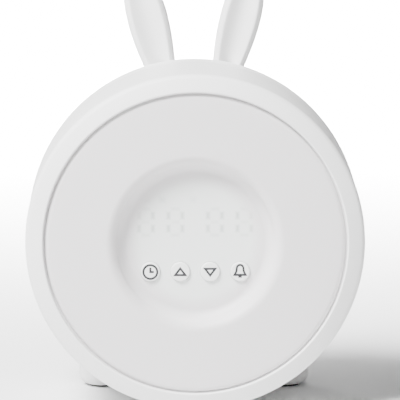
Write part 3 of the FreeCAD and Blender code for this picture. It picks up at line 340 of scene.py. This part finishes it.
def soft_bar():
    """Soft-edged bar: 1 inside, 0 outside, from the distance past its half sizes."""
    tree, start, end = new_group(
        "soft_bar",
        [("Across", "NodeSocketFloat", 0.0), ("Up", "NodeSocketFloat", 0.0),
         ("Half Width", "NodeSocketFloat", 1.0 * MM), ("Half Height", "NodeSocketFloat", 1.0 * MM),
         ("Softness", "NodeSocketFloat", 0.4 * MM)],
        [("Mask", "NodeSocketFloat")])
    over_across = calc(tree, "SUBTRACT", calc(tree, "ABSOLUTE", start.outputs["Across"]),
                       start.outputs["Half Width"])
    over_up = calc(tree, "SUBTRACT", calc(tree, "ABSOLUTE", start.outputs["Up"]),
                   start.outputs["Half Height"])
    past = calc(tree, "DIVIDE", calc(tree, "MAXIMUM", over_across, over_up), start.outputs["Softness"])
    inside = calc(tree, "SUBTRACT", 0.5, past)
    node = add(tree, "ShaderNodeClamp")
    tree.links.new(inside, node.inputs[0])
    tree.links.new(node.outputs[0], end.inputs["Mask"])
    return tree


def group_node(tree, group):
    """Place a shader group in a tree."""
    node = tree.nodes.new("ShaderNodeGroup")
    node.node_tree = group
    return node


def unlit_digits():
    """Four faint figure eights and the small indicators above them, as they show through a milky window."""
    tree, start, end = new_group(
        "unlit_digits",
        [("Height", "NodeSocketFloat", 0.0), ("First", "NodeSocketFloat", DIGIT_FIRST),
         ("Pitch", "NodeSocketFloat", DIGIT_PITCH), ("Half Width", "NodeSocketFloat", DIGIT_HALF_WIDTH),
         ("Half Tall", "NodeSocketFloat", DIGIT_TALL / 2)],
        [("Mask", "NodeSocketFloat")])
    place = add(tree, "ShaderNodeTexCoord")
    split = add(tree, "ShaderNodeSeparateXYZ")
    tree.links.new(place.outputs["Object"], split.inputs[0])
    side = calc(tree, "SUBTRACT", calc(tree, "ABSOLUTE", split.outputs[0]), start.outputs["First"])
    step = calc(tree, "ROUND", calc(tree, "DIVIDE", side, start.outputs["Pitch"]))
    step = calc(tree, "MINIMUM", calc(tree, "MAXIMUM", step, 0.0), 1.0)
    own_middle = calc(tree, "MULTIPLY", step, start.outputs["Pitch"])
    across = calc(tree, "ABSOLUTE", calc(tree, "SUBTRACT", side, own_middle))
    up = calc(tree, "ABSOLUTE", calc(tree, "SUBTRACT", split.outputs[2], start.outputs["Height"]))
    low_up = calc(tree, "SUBTRACT", up, calc(tree, "MULTIPLY", start.outputs["Half Tall"], 0.5))
    top_up = calc(tree, "SUBTRACT", up, start.outputs["Half Tall"])
    right = calc(tree, "SUBTRACT", across, start.outputs["Half Width"])
    marks = []
    for x, z, (wide, tall, weight) in ((across, up, MIDDLE_BAR), (across, top_up, TOP_BAR),
                                       (right, low_up, UPRIGHT_BAR)):
        piece = group_node(tree, BAR)
        feed(tree, piece, Across=x, Up=z, Half_Width=wide, Half_Height=tall, Softness=GHOST_BLUR)
        marks.append(calc(tree, "MULTIPLY", piece.outputs[0], weight))
    mask = calc(tree, "MAXIMUM", calc(tree, "MAXIMUM", marks[0], marks[1]), marks[2])
    indicator_up = calc(tree, "SUBTRACT", split.outputs[2],
                        calc(tree, "ADD", start.outputs["Height"], INDICATOR_RISE))
    for place_across, weight in INDICATORS:
        piece = group_node(tree, BAR)
        feed(tree, piece, Across=calc(tree, "SUBTRACT", split.outputs[0], place_across), Up=indicator_up,
             Half_Width=INDICATOR_HALF_WIDTH, Half_Height=INDICATOR_HALF_HEIGHT, Softness=INDICATOR_BLUR)
        mask = calc(tree, "MAXIMUM", mask, calc(tree, "MULTIPLY", piece.outputs[0], weight))
    tree.links.new(mask, end.inputs["Mask"])
    return tree


def edge_fade():
    """0 at the middle of a disc and 1 at its edge, for a film that fades into its surround."""
    tree, start, end = new_group(
        "edge_fade",
        [("Height", "NodeSocketFloat", 0.0), ("Inner", "NodeSocketFloat", FADE_START * WINDOW_RADIUS),
         ("Outer", "NodeSocketFloat", WINDOW_RADIUS)],
        [("Mask", "NodeSocketFloat")])
    place = add(tree, "ShaderNodeTexCoord")
    split = add(tree, "ShaderNodeSeparateXYZ")
    tree.links.new(place.outputs["Object"], split.inputs[0])
    up = calc(tree, "SUBTRACT", split.outputs[2], start.outputs["Height"])
    across_squared = calc(tree, "MULTIPLY", split.outputs[0], split.outputs[0])
    radius = calc(tree, "SQRT", calc(tree, "ADD", across_squared, calc(tree, "MULTIPLY", up, up)))
    fade = add(tree, "ShaderNodeMapRange", interpolation_type="SMOOTHSTEP")
    feed(tree, fade, Value=radius, From_Min=start.outputs["Inner"], From_Max=start.outputs["Outer"])
    tree.links.new(fade.outputs[0], end.inputs["Mask"])
    return tree


SURFACE = moulded_surface()
BAR = soft_bar()
DIGITS = unlit_digits()
EDGE_FADE = edge_fade()


# Materials

WINDOW_COLOUR = (0.80, 0.825, 0.81)
WINDOW_SHADE = (0.78, 0.805, 0.79)
MILKY_COLOUR = (0.70, 0.682, 0.687)
MILKY_SHADE = (0.68, 0.662, 0.668)
GHOST_STRENGTH = 0.85


def plastic(name, colour, shade, roughness, spread=0.05, grain=2200.0, bump=0.02, coat=0.0, under=0.0):
    """Moulded plastic: grain, cloudiness and a roughness that wanders a little."""
    material = bpy.data.materials.new(name)
    material.use_nodes = True
    tree = material.node_tree
    shader = tree.nodes["Principled BSDF"]
    surface = group_node(tree, SURFACE)
    feed(tree, surface, Colour=(*colour, 1), Shade=(*shade, 1), Grain_Scale=grain, Roughness=roughness,
         Roughness_Spread=spread)
    tree.links.new(surface.outputs["Colour"], shader.inputs["Base Color"])
    tree.links.new(surface.outputs["Roughness"], shader.inputs["Roughness"])
    relief = add(tree, "ShaderNodeBump")
    feed(tree, relief, Height=surface.outputs["Height"], Strength=bump, Distance=GRAIN_HEIGHT)
    tree.links.new(relief.outputs[0], shader.inputs["Normal"])
    shader.inputs["Coat Weight"].default_value = coat
    shader.inputs["Subsurface Weight"].default_value = under
    shader.inputs["Subsurface Radius"].default_value = BLEED_RADIUS
    shader.inputs["Subsurface Scale"].default_value = 1.0
    return material


def metal(name, colour, shade, roughness):
    """Plated metal with a coarser grain than plastic."""
    material = plastic(name, colour, shade, roughness, spread=0.12, grain=900.0, bump=0.05)
    material.node_tree.nodes["Principled BSDF"].inputs["Metallic"].default_value = 1.0
    return material


def window_film():
    """Milky window whose unlit digits show faintly, fading into the face at its edge."""
    material = plastic("milky_window", WINDOW_COLOUR, WINDOW_SHADE, 0.42, bump=0.01)
    tree = material.node_tree
    shader = tree.nodes["Principled BSDF"]
    digits = group_node(tree, DIGITS)
    feed(tree, digits, Height=DISPLAY_MIDDLE, Half_Tall=DIGIT_TALL / 2 - SEGMENT_HALF)
    base = shader.inputs["Base Color"].links[0].from_socket
    share = calc(tree, "MULTIPLY", digits.outputs[0], GHOST_STRENGTH)
    mixed = blend_colours(tree, share, base, GHOST_TINT)
    fade = group_node(tree, EDGE_FADE)
    feed(tree, fade, Height=AXIS, Inner=WINDOW_RADIUS * FADE_START, Outer=WINDOW_RADIUS)
    faded = blend_colours(tree, fade.outputs[0], mixed, (*MILKY_COLOUR, 1))
    tree.links.new(faded, shader.inputs["Base Color"])
    return material


WHITE = plastic("matte_white_shell", (0.83, 0.83, 0.828), (0.80, 0.80, 0.797), 0.55)
MILKY = plastic("silky_milky_face", MILKY_COLOUR, MILKY_SHADE, 0.5, bump=0.01, under=0.15)
WINDOW = window_film()
BUTTON = plastic("satin_button_white", (0.85, 0.86, 0.85), (0.83, 0.84, 0.83), 0.38, bump=0.01)
INK = plastic("button_symbol_grey", (0.022, 0.022, 0.024), (0.03, 0.03, 0.033), 0.6)
BLACK = plastic("matte_black_plastic", (0.03, 0.03, 0.033), (0.045, 0.045, 0.05), 0.5)
INNER = plastic("inner_white_plastic", (0.84, 0.84, 0.84), (0.80, 0.80, 0.80), 0.6)
DISPLAY = plastic("display_body_grey", (0.55, 0.57, 0.56), (0.5, 0.52, 0.51), 0.3, coat=0.3)
SEGMENT = plastic("milky_segment", (0.62, 0.66, 0.62), (0.58, 0.62, 0.58), 0.4)
BOARD = plastic("solder_mask_green", (0.02, 0.13, 0.06), (0.03, 0.17, 0.08), 0.3, coat=0.4)
LAMP = plastic("lamp_phosphor", (0.85, 0.72, 0.28), (0.9, 0.78, 0.35), 0.25, coat=0.5)
STEEL = metal("zinc_plated_steel", (0.62, 0.62, 0.63), (0.52, 0.52, 0.53), 0.35)
RUBBER_DARK = plastic("dark_rubber", (0.035, 0.035, 0.035), (0.05, 0.05, 0.05), 0.8, grain=1400.0, bump=0.15)
RUBBER_GREY = plastic("grey_rubber", (0.35, 0.35, 0.35), (0.30, 0.30, 0.30), 0.8, grain=1400.0, bump=0.15)
PAPER = plastic("speaker_paper", (0.06, 0.055, 0.05), (0.09, 0.085, 0.08), 0.9, grain=1100.0, bump=0.3)
RIBBON = plastic("ribbon_white", (0.7, 0.7, 0.68), (0.62, 0.62, 0.6), 0.5)
CELL = plastic("cell_sleeve", (0.28, 0.30, 0.32), (0.22, 0.24, 0.26), 0.35, coat=0.2)

FINISHES = {
    "white_shell": WHITE, "milky_diffuser": MILKY, "display_window": WINDOW, "button_white": BUTTON,
    "switch_black": BLACK, "inner_white": INNER, "display_black": DISPLAY, "display_segment": SEGMENT,
    "board_green": BOARD, "lamp": LAMP, "steel_screw": STEEL, "rubber_dark": RUBBER_DARK,
    "rubber_grey": RUBBER_GREY, "speaker_steel": STEEL, "speaker_paper": PAPER, "ribbon_white": RIBBON,
    "cell_wrap": CELL,
}


def dress_frame():
    """Give every node of the frame the finish of its slot."""
    for part in frame["record"]["subparts"]:
        node = frame["nodes"][part["node"]]
        node.data.materials.clear()
        node.data.materials.append(FINISHES[part["material_slot"]])


# Housing

def front_housing():
    """Rounded front ring and barrel in one skin, open at both ends."""
    inner = DRUM_RADIUS - RING_WIDTH
    inside = DRUM_RADIUS - WALL
    outline = rounded([
        (inner, RING_FRONT, RING_LIP), (DRUM_RADIUS, RING_FRONT + RING_BEVEL, RING_CORNER),
        (DRUM_RADIUS, PARTING, PARTING_CORNER), (DRUM_RADIUS - TONGUE, PARTING, TONGUE_CORNER),
        (DRUM_RADIUS - TONGUE, PARTING - TONGUE_LENGTH, 0), (inside, PARTING - TONGUE_LENGTH, 0),
        (inside, RING_FRONT + RING_DEPTH, 0), (inner, RING_FRONT + RING_DEPTH, RING_BACK_CORNER)])
    ring = turned("front_ring_and_barrel", outline, WHITE, around=AROUND)
    seat(ring, "case", "white_shell", "front_housing")


def rear_housing():
    """Domed rear cover, its flat middle kept flat in the shading."""
    cover = from_frame("rear_shell", "rear_cover", WHITE)
    weigh_normals(cover)
    seat(cover, "case", "white_shell", "rear_cover")


# Milky face

def face_outline():
    """Crowned face, dish with its double curve, window ledge, skirt and flange."""
    rim = FLANGE_RADIUS - FLANGE_WIDTH
    top = RING_FRONT + FACE_SETBACK
    seat_radius = WINDOW_RADIUS + WINDOW_GAP
    spread = DISH_MOUTH - seat_radius
    drop = DISH_FLOOR - top
    turn = 2 * math.atan(drop / spread)
    bend = spread / (2 * math.sin(turn))

    def crown(radius):
        return (radius ** 2 - DISH_MOUTH ** 2) / (2 * FACE_CROWN)

    start = rim - 3 * FACE_EDGE
    edge = rounded([(rim, SKIRT_END, 0), (rim, top + crown(rim), FACE_EDGE), (start, top + crown(start), 0)])
    shelf = DRUM_RADIUS - RING_WIDTH - FACE_FIT
    outline = [Vector((shelf, SKIRT_END)), Vector((shelf, top + FACE_EDGE * SHELF_SHARE)),
               Vector((rim, top + FACE_EDGE * SHELF_SHARE))] + edge[2:-1]
    for step in range(FACE_STEPS + 1):
        radius = start + (DISH_MOUTH - start) * step / FACE_STEPS
        outline.append(Vector((radius, top + crown(radius))))
    for step in range(1, FACE_STEPS + 1):
        angle = turn * step / FACE_STEPS
        outline.append(Vector((DISH_MOUTH - bend * math.sin(angle), top + bend * (1 - math.cos(angle)))))
    for step in range(1, FACE_STEPS + 1):
        angle = turn * (1 - step / FACE_STEPS)
        outline.append(Vector((seat_radius + bend * math.sin(angle),
                               DISH_FLOOR - bend * (1 - math.cos(angle)))))
    outline += [Vector(place) for place in (
        (seat_radius, WINDOW_BACK), (seat_radius - LEDGE, WINDOW_BACK),
        (seat_radius - LEDGE, WINDOW_BACK + LEDGE), (DISH_MOUTH, WINDOW_BACK + LEDGE),
        (DISH_MOUTH + DISH_BACK_OUT, top + DISH_BACK_WALL), (rim - SKIRT_WALL, top + FACE_WALL),
        (rim - SKIRT_WALL, SKIRT_END))]
    return outline


def milky_face():
    """The face, from its outline turned about the drum's axis."""
    face = turned("milky_face", face_outline(), MILKY, around=AROUND, smooth=35)
    seat(face, "case", "milky_diffuser", "front_diffuser")


def window():
    """Window film, its rim let out until it meets the face without a seam."""
    film = from_frame("window_film", "display_window", WINDOW)
    for vertex in film.data.vertices:
        across = Vector((vertex.co.x, vertex.co.z - AXIS))
        if across.length > WINDOW_RADIUS - WINDOW_RIM:
            across = across.normalized() * (WINDOW_RADIUS + WINDOW_LET_OUT)
            vertex.co.x = across.x
            vertex.co.z = across.y + AXIS
    seat(film, "case", "display_window", "display_window")


# Buttons and their symbols

SYMBOL_LINE = 0.92 * MM
SYMBOL_LIFT = 0.04 * MM
SYMBOL_SINK = 0.15 * MM
CLOCK_RADIUS = 2.95 * MM
CLOCK_STEPS = 48
LONG_HAND = 1.9 * MM
SHORT_HAND = 1.5 * MM
TRIANGLE_HALF = 2.15 * MM
TRIANGLE_TOP = 1.5 * MM
TRIANGLE_BASE = 1.35 * MM
BELL_SIZE = 2.35 * MM
CLAPPER_HALF = 0.75 * MM
BUTTON_EDGE = 0.6 * MM
COLLAR_WIDTH = 0.8 * MM
COLLAR_THICK = 0.8 * MM
COLLAR_CORNER = 0.1 * MM
STEM_RADIUS = 2.2 * MM
STEM_CORNER = 0.2 * MM
# The bell's outline as shares of its size: dome width, height of the dome's foot, dome height, fall to the
# lip, flare of the lip, and height of the clapper below the middle
BELL_DOME = 0.6
BELL_SHOULDER = 0.62
BELL_CROWN = 0.66
BELL_FALL = 1.17
BELL_FLARE = 0.4
BELL_CLAPPER = 0.86
BELL_STEPS = 12
# Least cosine by which a band's corner is lengthened, so that a sharp corner stays short
MITRE_LIMIT = 0.35


def stroke(points, width, closed):
    """Outer and inner corners of a flat band of even width along points on the button's face."""
    count = len(points)
    outer = []
    inner = []
    for index, point in enumerate(points):
        before = points[index - 1] if closed or index else point
        after = points[(index + 1) % count] if closed or index < count - 1 else point
        first = (point - before).normalized() if (point - before).length else (after - point).normalized()
        second = (after - point).normalized() if (after - point).length else first
        along = (first + second).normalized()
        normal = Vector((-along.y, along.x))
        spread = width / 2 / max(normal.dot(Vector((-first.y, first.x))), MITRE_LIMIT)
        outer.append(point + normal * spread)
        inner.append(point - normal * spread)
    return outer, inner


def band(points, width, closed=True):
    """Points and faces of a thin raised band, given about the button's centre."""
    outer, inner = stroke(points, width, closed)
    count = len(points)
    layers = ((outer, 0), (inner, 0), (inner, 1), (outer, 1))
    made = [(place, layer) for row, layer in layers for place in row]
    faces = []
    last = count if closed else count - 1
    for index in range(last):
        after = (index + 1) % count
        for row in range(4):
            upper = (row + 1) % 4
            faces.append((row * count + index, row * count + after,
                          upper * count + after, upper * count + index))
    if not closed:
        for end in (0, count - 1):
            faces.append(tuple(row * count + end for row in range(4)))
    return made, faces


def clock_symbol():
    """Round clock face with a long hand at the top and a short hand to the right."""
    turns = [2 * math.pi * step / CLOCK_STEPS for step in range(CLOCK_STEPS)]
    rim = [CLOCK_RADIUS * Vector((math.cos(turn), math.sin(turn))) for turn in turns]
    hands = [Vector((0, LONG_HAND)), Vector((0, 0)), Vector((SHORT_HAND, 0))]
    return [(rim, True), (hands, False)]


def triangle_symbol(up):
    """Triangle that points up for 1 and down for -1."""
    corners = [Vector((-TRIANGLE_HALF, -TRIANGLE_BASE * up)), Vector((TRIANGLE_HALF, -TRIANGLE_BASE * up)),
               Vector((0, TRIANGLE_TOP * up))]
    return [(corners, True)]


def bell_symbol():
    """Bell outline from its dome down to its lip, with a short bar below for the clapper."""
    size = BELL_SIZE
    right = []
    for step in range(BELL_STEPS + 1):
        turn = math.pi / 2 * step / BELL_STEPS
        right.append(Vector((BELL_DOME * size * math.sin(turn),
                             size * (BELL_SHOULDER + BELL_CROWN * math.cos(turn)))))
    for share in (0.25, 0.5, 0.75, 1.0):
        right.append(Vector((size * (BELL_DOME + BELL_FLARE * share ** 2),
                             size * (BELL_SHOULDER - BELL_FALL * share))))
    left = [Vector((-p.x, p.y)) for p in reversed(right[1:])]
    clapper = [Vector((side * CLAPPER_HALF, -size * BELL_CLAPPER)) for side in (-1, 1)]
    return [(right + left, True), (clapper, False)]


def symbol(name, body, centre_x, strokes):
    """Printed symbol on a button's face, a hair proud of it."""
    points = []
    faces = []
    for line, closed in strokes:
        made, made_faces = band(line, SYMBOL_LINE, closed)
        offset = len(points)
        for place, layer in made:
            depth = BUTTON_FRONT + (SYMBOL_SINK if layer else -SYMBOL_LIFT)
            points.append(Vector((centre_x + place.x, depth, BUTTON_HEIGHT + place.y)))
        faces += [tuple(offset + index for index in face) for face in made_faces]
    mark = mesh_object(name, points, faces, INK)
    seat(mark, body, "switch_black")


def buttons():
    """Round caps with a soft edge, each with its own symbol."""
    symbols = {"clock": clock_symbol(), "up": triangle_symbol(1), "down": triangle_symbol(-1),
               "bell": bell_symbol()}
    for name, strokes in symbols.items():
        node = "button_" + name
        body = node + "_body"
        centre = Vector((middle(node).x, 0, BUTTON_HEIGHT))
        collar = high(node).x - centre.x
        collar_back = WINDOW_BACK + COLLAR_THICK
        radius = collar - COLLAR_WIDTH
        outline = rounded([
            (0, BUTTON_FRONT, 0), (radius, BUTTON_FRONT, BUTTON_EDGE), (radius, WINDOW_BACK, 0),
            (collar, WINDOW_BACK, COLLAR_CORNER), (collar, collar_back, COLLAR_CORNER),
            (STEM_RADIUS, collar_back, 0), (STEM_RADIUS, high(node).y, STEM_CORNER), (0, high(node).y, 0)])
        cap = turned(node + "_cap", outline, BUTTON, centre, around=72)
        seat(cap, body, "button_white", node)
        symbol(name + "_symbol", body, centre.x, strokes)


# Ears

EAR_LENGTH = 42.0 * MM
EAR_ROOT = -9.0 * MM
EAR_WIDEST = 19.0 * MM
EAR_HALF = 8.85 * MM
EAR_ROOT_HALF = 5.494 * MM
EAR_TIP_POWER = 2.15
EAR_THICKNESS = 11.0 * MM
EAR_FLATNESS = EAR_THICKNESS / (2 * EAR_HALF)
EAR_LEAN = math.radians(14.7)
EAR_SPREAD = 15.3 * MM
EAR_DEPTH = BACK - 9.5 * MM
EAR_RIM = 2.3 * MM
SCOOP_DEPTH = 3.9 * MM
SCOOP_TOP = 38.5 * MM
SCOOP_FADE = 9.0 * MM
SCOOP_END_SHARE = 0.35
SCOOP_POWER = 1.2
SCOOP_LEAST = 0.1 * MM
EAR_ROWS = 96
EAR_AROUND = 96


def ear_half_width(height):
    """Half width of an ear at a height above its root on the barrel."""
    if height < EAR_WIDEST:
        share = (height - EAR_ROOT) / (EAR_WIDEST - EAR_ROOT)
        return EAR_ROOT_HALF + (EAR_HALF - EAR_ROOT_HALF) * math.sin(math.pi / 2 * share)
    share = (height - EAR_WIDEST) / (EAR_LENGTH - EAR_WIDEST)
    return EAR_HALF * math.sqrt(max(0.0, 1 - share ** EAR_TIP_POWER))


def scoop_share(height):
    """How deep the hollow is at this height: full along the ear, rising to nothing below its tip."""
    share = (SCOOP_TOP - height) / SCOOP_FADE
    return math.sin(math.pi / 2 * min(max(share, 0.0), 1.0))


def ear(side):
    """Leaf-shaped ear with soft rims round a scooped front, leaning outwards."""
    name = "ear_left" if side < 0 else "ear_right"
    base = Vector((side * EAR_SPREAD, EAR_DEPTH, AXIS + math.sqrt(DRUM_RADIUS ** 2 - EAR_SPREAD ** 2)))
    lean = Matrix.Rotation(side * EAR_LEAN, 3, "Y")
    points = []
    faces = []
    for row in range(EAR_ROWS + 1):
        share = math.sin(math.pi / 2 * row / EAR_ROWS)
        height = EAR_ROOT + (EAR_LENGTH - EAR_ROOT) * share
        half = ear_half_width(height)
        opening = scoop_share(height)
        dent = SCOOP_DEPTH * opening * half / EAR_HALF
        reach = max((half - EAR_RIM) * (SCOOP_END_SHARE + (1 - SCOOP_END_SHARE) * opening), SCOOP_LEAST)
        for index in range(EAR_AROUND):
            turn = 2 * math.pi * index / EAR_AROUND
            across = half * math.sin(turn)
            depth = -half * EAR_FLATNESS * math.cos(turn)
            if math.cos(turn) > 0 and abs(across) < reach:
                depth += dent * (1 - (abs(across) / reach) ** 2) ** SCOOP_POWER
            points.append(base + lean @ Vector((across, depth, height)))
    for row in range(EAR_ROWS):
        for index in range(EAR_AROUND):
            after = (index + 1) % EAR_AROUND
            faces.append((row * EAR_AROUND + index, row * EAR_AROUND + after,
                          (row + 1) * EAR_AROUND + after, (row + 1) * EAR_AROUND + index))
    faces.append(tuple(range(EAR_AROUND)))
    leaf = mesh_object(name + "_leaf", points, faces, WHITE, smooth=60)
    seat(leaf, "case", "white_shell", name)


# Feet

FOOT_RADIUS = 10.5 * MM
FOOT_TALL = 23.0 * MM
FOOT_CORNER = 4.5 * MM
FOOT_DOME = 9.0 * MM
FOOT_SPREAD = 40.0 * MM
FOOT_DEPTH = BACK - 11.0 * MM


def rear_foot(side):
    """Round stub with a soft lower edge, its domed top running up behind the barrel."""
    name = "rear_foot_left" if side < 0 else "rear_foot_right"
    bottom = low(name).z
    top = bottom + FOOT_TALL
    centre = Vector((side * FOOT_SPREAD, FOOT_DEPTH, 0))
    outline = rounded([(0, bottom, 0), (FOOT_RADIUS, bottom, FOOT_CORNER), (FOOT_RADIUS, top, FOOT_DOME),
                       (0, top, 0)])
    stub = turned(name + "_stub", outline, WHITE, centre, around=96, upright=True)
    seat(stub, "case", "white_shell", name)


# Screws, repeated by a geometry tree

HEAD_RADIUS = 2.3 * MM
HEAD_TALL = 1.6 * MM
HEAD_EDGE = 0.6 * MM
RECESS_REACH = 1.5 * MM
RECESS_HALF = 0.32 * MM
RECESS_DEPTH = 0.9 * MM
SCREW_INSET = 2.4 * MM
SCREW_SEAT = 3.0 * MM
SCREW_ANGLES = (30, 150, 210, 330)


def screw_head():
    """Pan head with a cross recess, centred on its seat and facing backwards."""
    outline = rounded([(0, HEAD_TALL, 0), (HEAD_RADIUS, HEAD_TALL, HEAD_EDGE),
                       (HEAD_RADIUS, 0, 0), (0, 0, 0)])
    body = turned("screw_head_form", outline, STEEL, Vector((0, 0, 0)), around=32)
    cutter_points = []
    cutter_faces = []
    for wide, tall in ((RECESS_REACH, RECESS_HALF), (RECESS_HALF, RECESS_REACH)):
        offset = len(cutter_points)
        for depth in (HEAD_TALL - RECESS_DEPTH, HEAD_TALL + RECESS_DEPTH):
            cutter_points += [Vector((x, depth, z)) for x, z in ((-wide, -tall), (wide, -tall),
                                                                (wide, tall), (-wide, tall))]
        cutter_faces += [tuple(offset + i for i in face) for face in
                         ((0, 1, 2, 3), (7, 6, 5, 4), (0, 4, 5, 1), (1, 5, 6, 2), (2, 6, 7, 3), (3, 7, 4, 0))]
    cutter = mesh_object("screw_recess_form", cutter_points, cutter_faces, STEEL)
    cut = body.modifiers.new("recess", "BOOLEAN")
    cut.operation = "DIFFERENCE"
    cut.solver = "EXACT"
    cut.use_self = True
    cut.object = cutter
    result = bpy.data.meshes.new_from_object(body.evaluated_get(bpy.context.evaluated_depsgraph_get()))
    bpy.data.objects.remove(body)
    bpy.data.objects.remove(cutter)
    return bpy.data.objects.new("screw_form", result)


def repeat_tree():
    """Places a form on every point of a mesh and makes one real mesh of them."""
    tree = bpy.data.node_groups.new("repeat_at_points", "GeometryNodeTree")
    for label, kind in (("Points", "NodeSocketGeometry"), ("Form", "NodeSocketObject"),
                        ("Finish", "NodeSocketMaterial"), ("Size", "NodeSocketFloat")):
        tree.interface.new_socket(name=label, in_out="INPUT", socket_type=kind)
    tree.interface.new_socket(name="Mesh", in_out="OUTPUT", socket_type="NodeSocketGeometry")
    start = tree.nodes.new("NodeGroupInput")
    end = tree.nodes.new("NodeGroupOutput")
    form = tree.nodes.new("GeometryNodeObjectInfo")
    spread = tree.nodes.new("GeometryNodeInstanceOnPoints")
    real = tree.nodes.new("GeometryNodeRealizeInstances")
    paint = tree.nodes.new("GeometryNodeSetMaterial")
    link = tree.links.new
    link(start.outputs["Form"], form.inputs["Object"])
    link(start.outputs["Points"], spread.inputs["Points"])
    link(form.outputs["Geometry"], spread.inputs["Instance"])
    link(start.outputs["Size"], spread.inputs["Scale"])
    link(spread.outputs["Instances"], real.inputs["Geometry"])
    link(real.outputs["Geometry"], paint.inputs["Geometry"])
    link(start.outputs["Finish"], paint.inputs["Material"])
    link(paint.outputs["Geometry"], end.inputs["Mesh"])
    return tree


REPEAT = repeat_tree()


def repeated(name, places, form, material, smooth=30):
    """One mesh with the form at every place, made by the geometry tree."""
    mesh = bpy.data.meshes.new(name)
    mesh.from_pydata([tuple(p) for p in places], [], [])
    made = bpy.data.objects.new(name, mesh)
    bpy.context.scene.collection.objects.link(made)
    bpy.context.scene.collection.objects.link(form)
    modifier = made.modifiers.new("repeat", "NODES")
    modifier.node_group = REPEAT
    sockets = {item.name: item.identifier for item in REPEAT.interface.items_tree if item.in_out == "INPUT"}
    modifier[sockets["Form"]] = form
    modifier[sockets["Finish"]] = material
    modifier[sockets["Size"]] = 1.0
    bpy.context.view_layer.update()
    result = bpy.data.meshes.new_from_object(made.evaluated_get(bpy.context.evaluated_depsgraph_get()))
    made.modifiers.clear()
    made.data = result
    bpy.data.objects.remove(form)
    finish_mesh(made, material, smooth)
    return made


def case_screws():
    """The four long screws at the bottom of their tubes in the rear cover."""
    circle = DRUM_RADIUS - WALL - SCREW_INSET
    seat_depth = PARTING + SCREW_SEAT
    places = []
    for turn in map(math.radians, SCREW_ANGLES):
        places.append(Vector((circle * math.cos(turn), seat_depth, AXIS + circle * math.sin(turn))))
    heads = repeated("case_screw_heads", places, screw_head(), STEEL)
    seat(heads, "case", "steel_screw", "case_screws")


def door_screw():
    """Captive screw of the battery door, its recess facing out."""
    centre = middle("battery_door_screw")
    place = Vector((centre.x, high("battery_door_screw").y - HEAD_TALL, centre.z))
    head = repeated("door_screw_head", [place], screw_head(), STEEL)
    seat(head, "battery_door_body", "steel_screw", "battery_door_screw")


# Studio

AIR_LIGHT = 0.12
KEY_DIRECTION = Vector((-0.42, -0.42, 0.80))
KEY_DISTANCE = 1.5
KEY_SIZE = 0.6
KEY_POWER = 112.0
REAR_PLACE = (0.0, 1.5, 1.5)
REAR_SIZE = 1.8
REAR_SPREAD = math.radians(50)
REAR_POWER = 300.0
FLOOR_SIZE = 6.0
FLOOR_ROWS = 24
CLIP_START = 0.01
CLIP_END = 20.0


def floor():
    """Pale matte floor with no seam in view."""
    places = [FLOOR_SIZE * (index / FLOOR_ROWS - 0.5) for index in range(FLOOR_ROWS + 1)]
    points = [Vector((x, y, 0)) for y in places for x in places]
    faces = []
    for row in range(FLOOR_ROWS):
        for column in range(FLOOR_ROWS):
            first = row * (FLOOR_ROWS + 1) + column
            faces.append((first, first + 1, first + FLOOR_ROWS + 2, first + FLOOR_ROWS + 1))
    finish = plastic("studio_white", (0.9, 0.9, 0.9), (0.89, 0.89, 0.89), 0.9, bump=0.0)
    ground = mesh_object("studio_floor", points, faces, finish)


def lamp(name, place, aim, size, power, spread=math.pi):
    """Large soft panel light aimed at a point."""
    light = bpy.data.lights.new(name, "AREA")
    light.shape = "RECTANGLE"
    light.size = size
    light.size_y = size
    light.energy = power
    light.spread = spread
    made = bpy.data.objects.new(name, light)
    made.location = place
    made.rotation_euler = (Vector(aim) - Vector(place)).to_track_quat("-Z", "Y").to_euler()
    bpy.context.scene.collection.objects.link(made)


def studio():
    """Soft key from the upper left, a wide panel over the floor behind, and a little air light."""
    world = bpy.data.worlds.new("studio_air")
    world.use_nodes = True
    world.node_tree.nodes["Background"].inputs["Color"].default_value = (1, 1, 1, 1)
    world.node_tree.nodes["Background"].inputs["Strength"].default_value = AIR_LIGHT
    bpy.context.scene.world = world
    centre = Vector((0, 0, AXIS))
    lamp("key_panel", centre + KEY_DIRECTION * KEY_DISTANCE, centre, KEY_SIZE, KEY_POWER)
    lamp("rear_panel", REAR_PLACE, (REAR_PLACE[0], REAR_PLACE[1], 0), REAR_SIZE, REAR_POWER, REAR_SPREAD)


def camera():
    """Camera at the photograph's place: it looks slightly down at the ring's centre."""
    look = Vector((math.sin(-VIEW_TURN) * math.cos(VIEW_PITCH), math.cos(VIEW_TURN) * math.cos(VIEW_PITCH),
                   -math.sin(VIEW_PITCH)))
    right = look.cross(Vector((0, 0, 1))).normalized()
    up = right.cross(look).normalized()
    target = Vector((0, RING_FRONT + RING_BEVEL, AXIS))
    across = (RING_CENTRE_PIXEL[0] - IMAGE_PIXELS / 2) / FOCAL_PIXELS * VIEW_DISTANCE
    upward = -(RING_CENTRE_PIXEL[1] - IMAGE_PIXELS / 2) / FOCAL_PIXELS * VIEW_DISTANCE
    data = bpy.data.cameras.new("photo_camera")
    data.lens = FOCAL_PIXELS / IMAGE_PIXELS * SENSOR_WIDTH
    data.sensor_width = SENSOR_WIDTH
    data.clip_start = CLIP_START
    data.clip_end = CLIP_END
    made = bpy.data.objects.new("photo_camera", data)
    turn = Matrix((right, up, -look)).transposed().to_4x4()
    place = target - look * VIEW_DISTANCE - right * across - up * upward
    made.matrix_world = Matrix.Translation(place) @ turn
    bpy.context.scene.collection.objects.link(made)
    bpy.context.scene.camera = made


dress_frame()
front_housing()
rear_housing()
milky_face()
window()
buttons()
for SIDE in (-1, 1):
    ear(SIDE)
    rear_foot(SIDE)
case_screws()
door_screw()
floor()
studio()
camera()
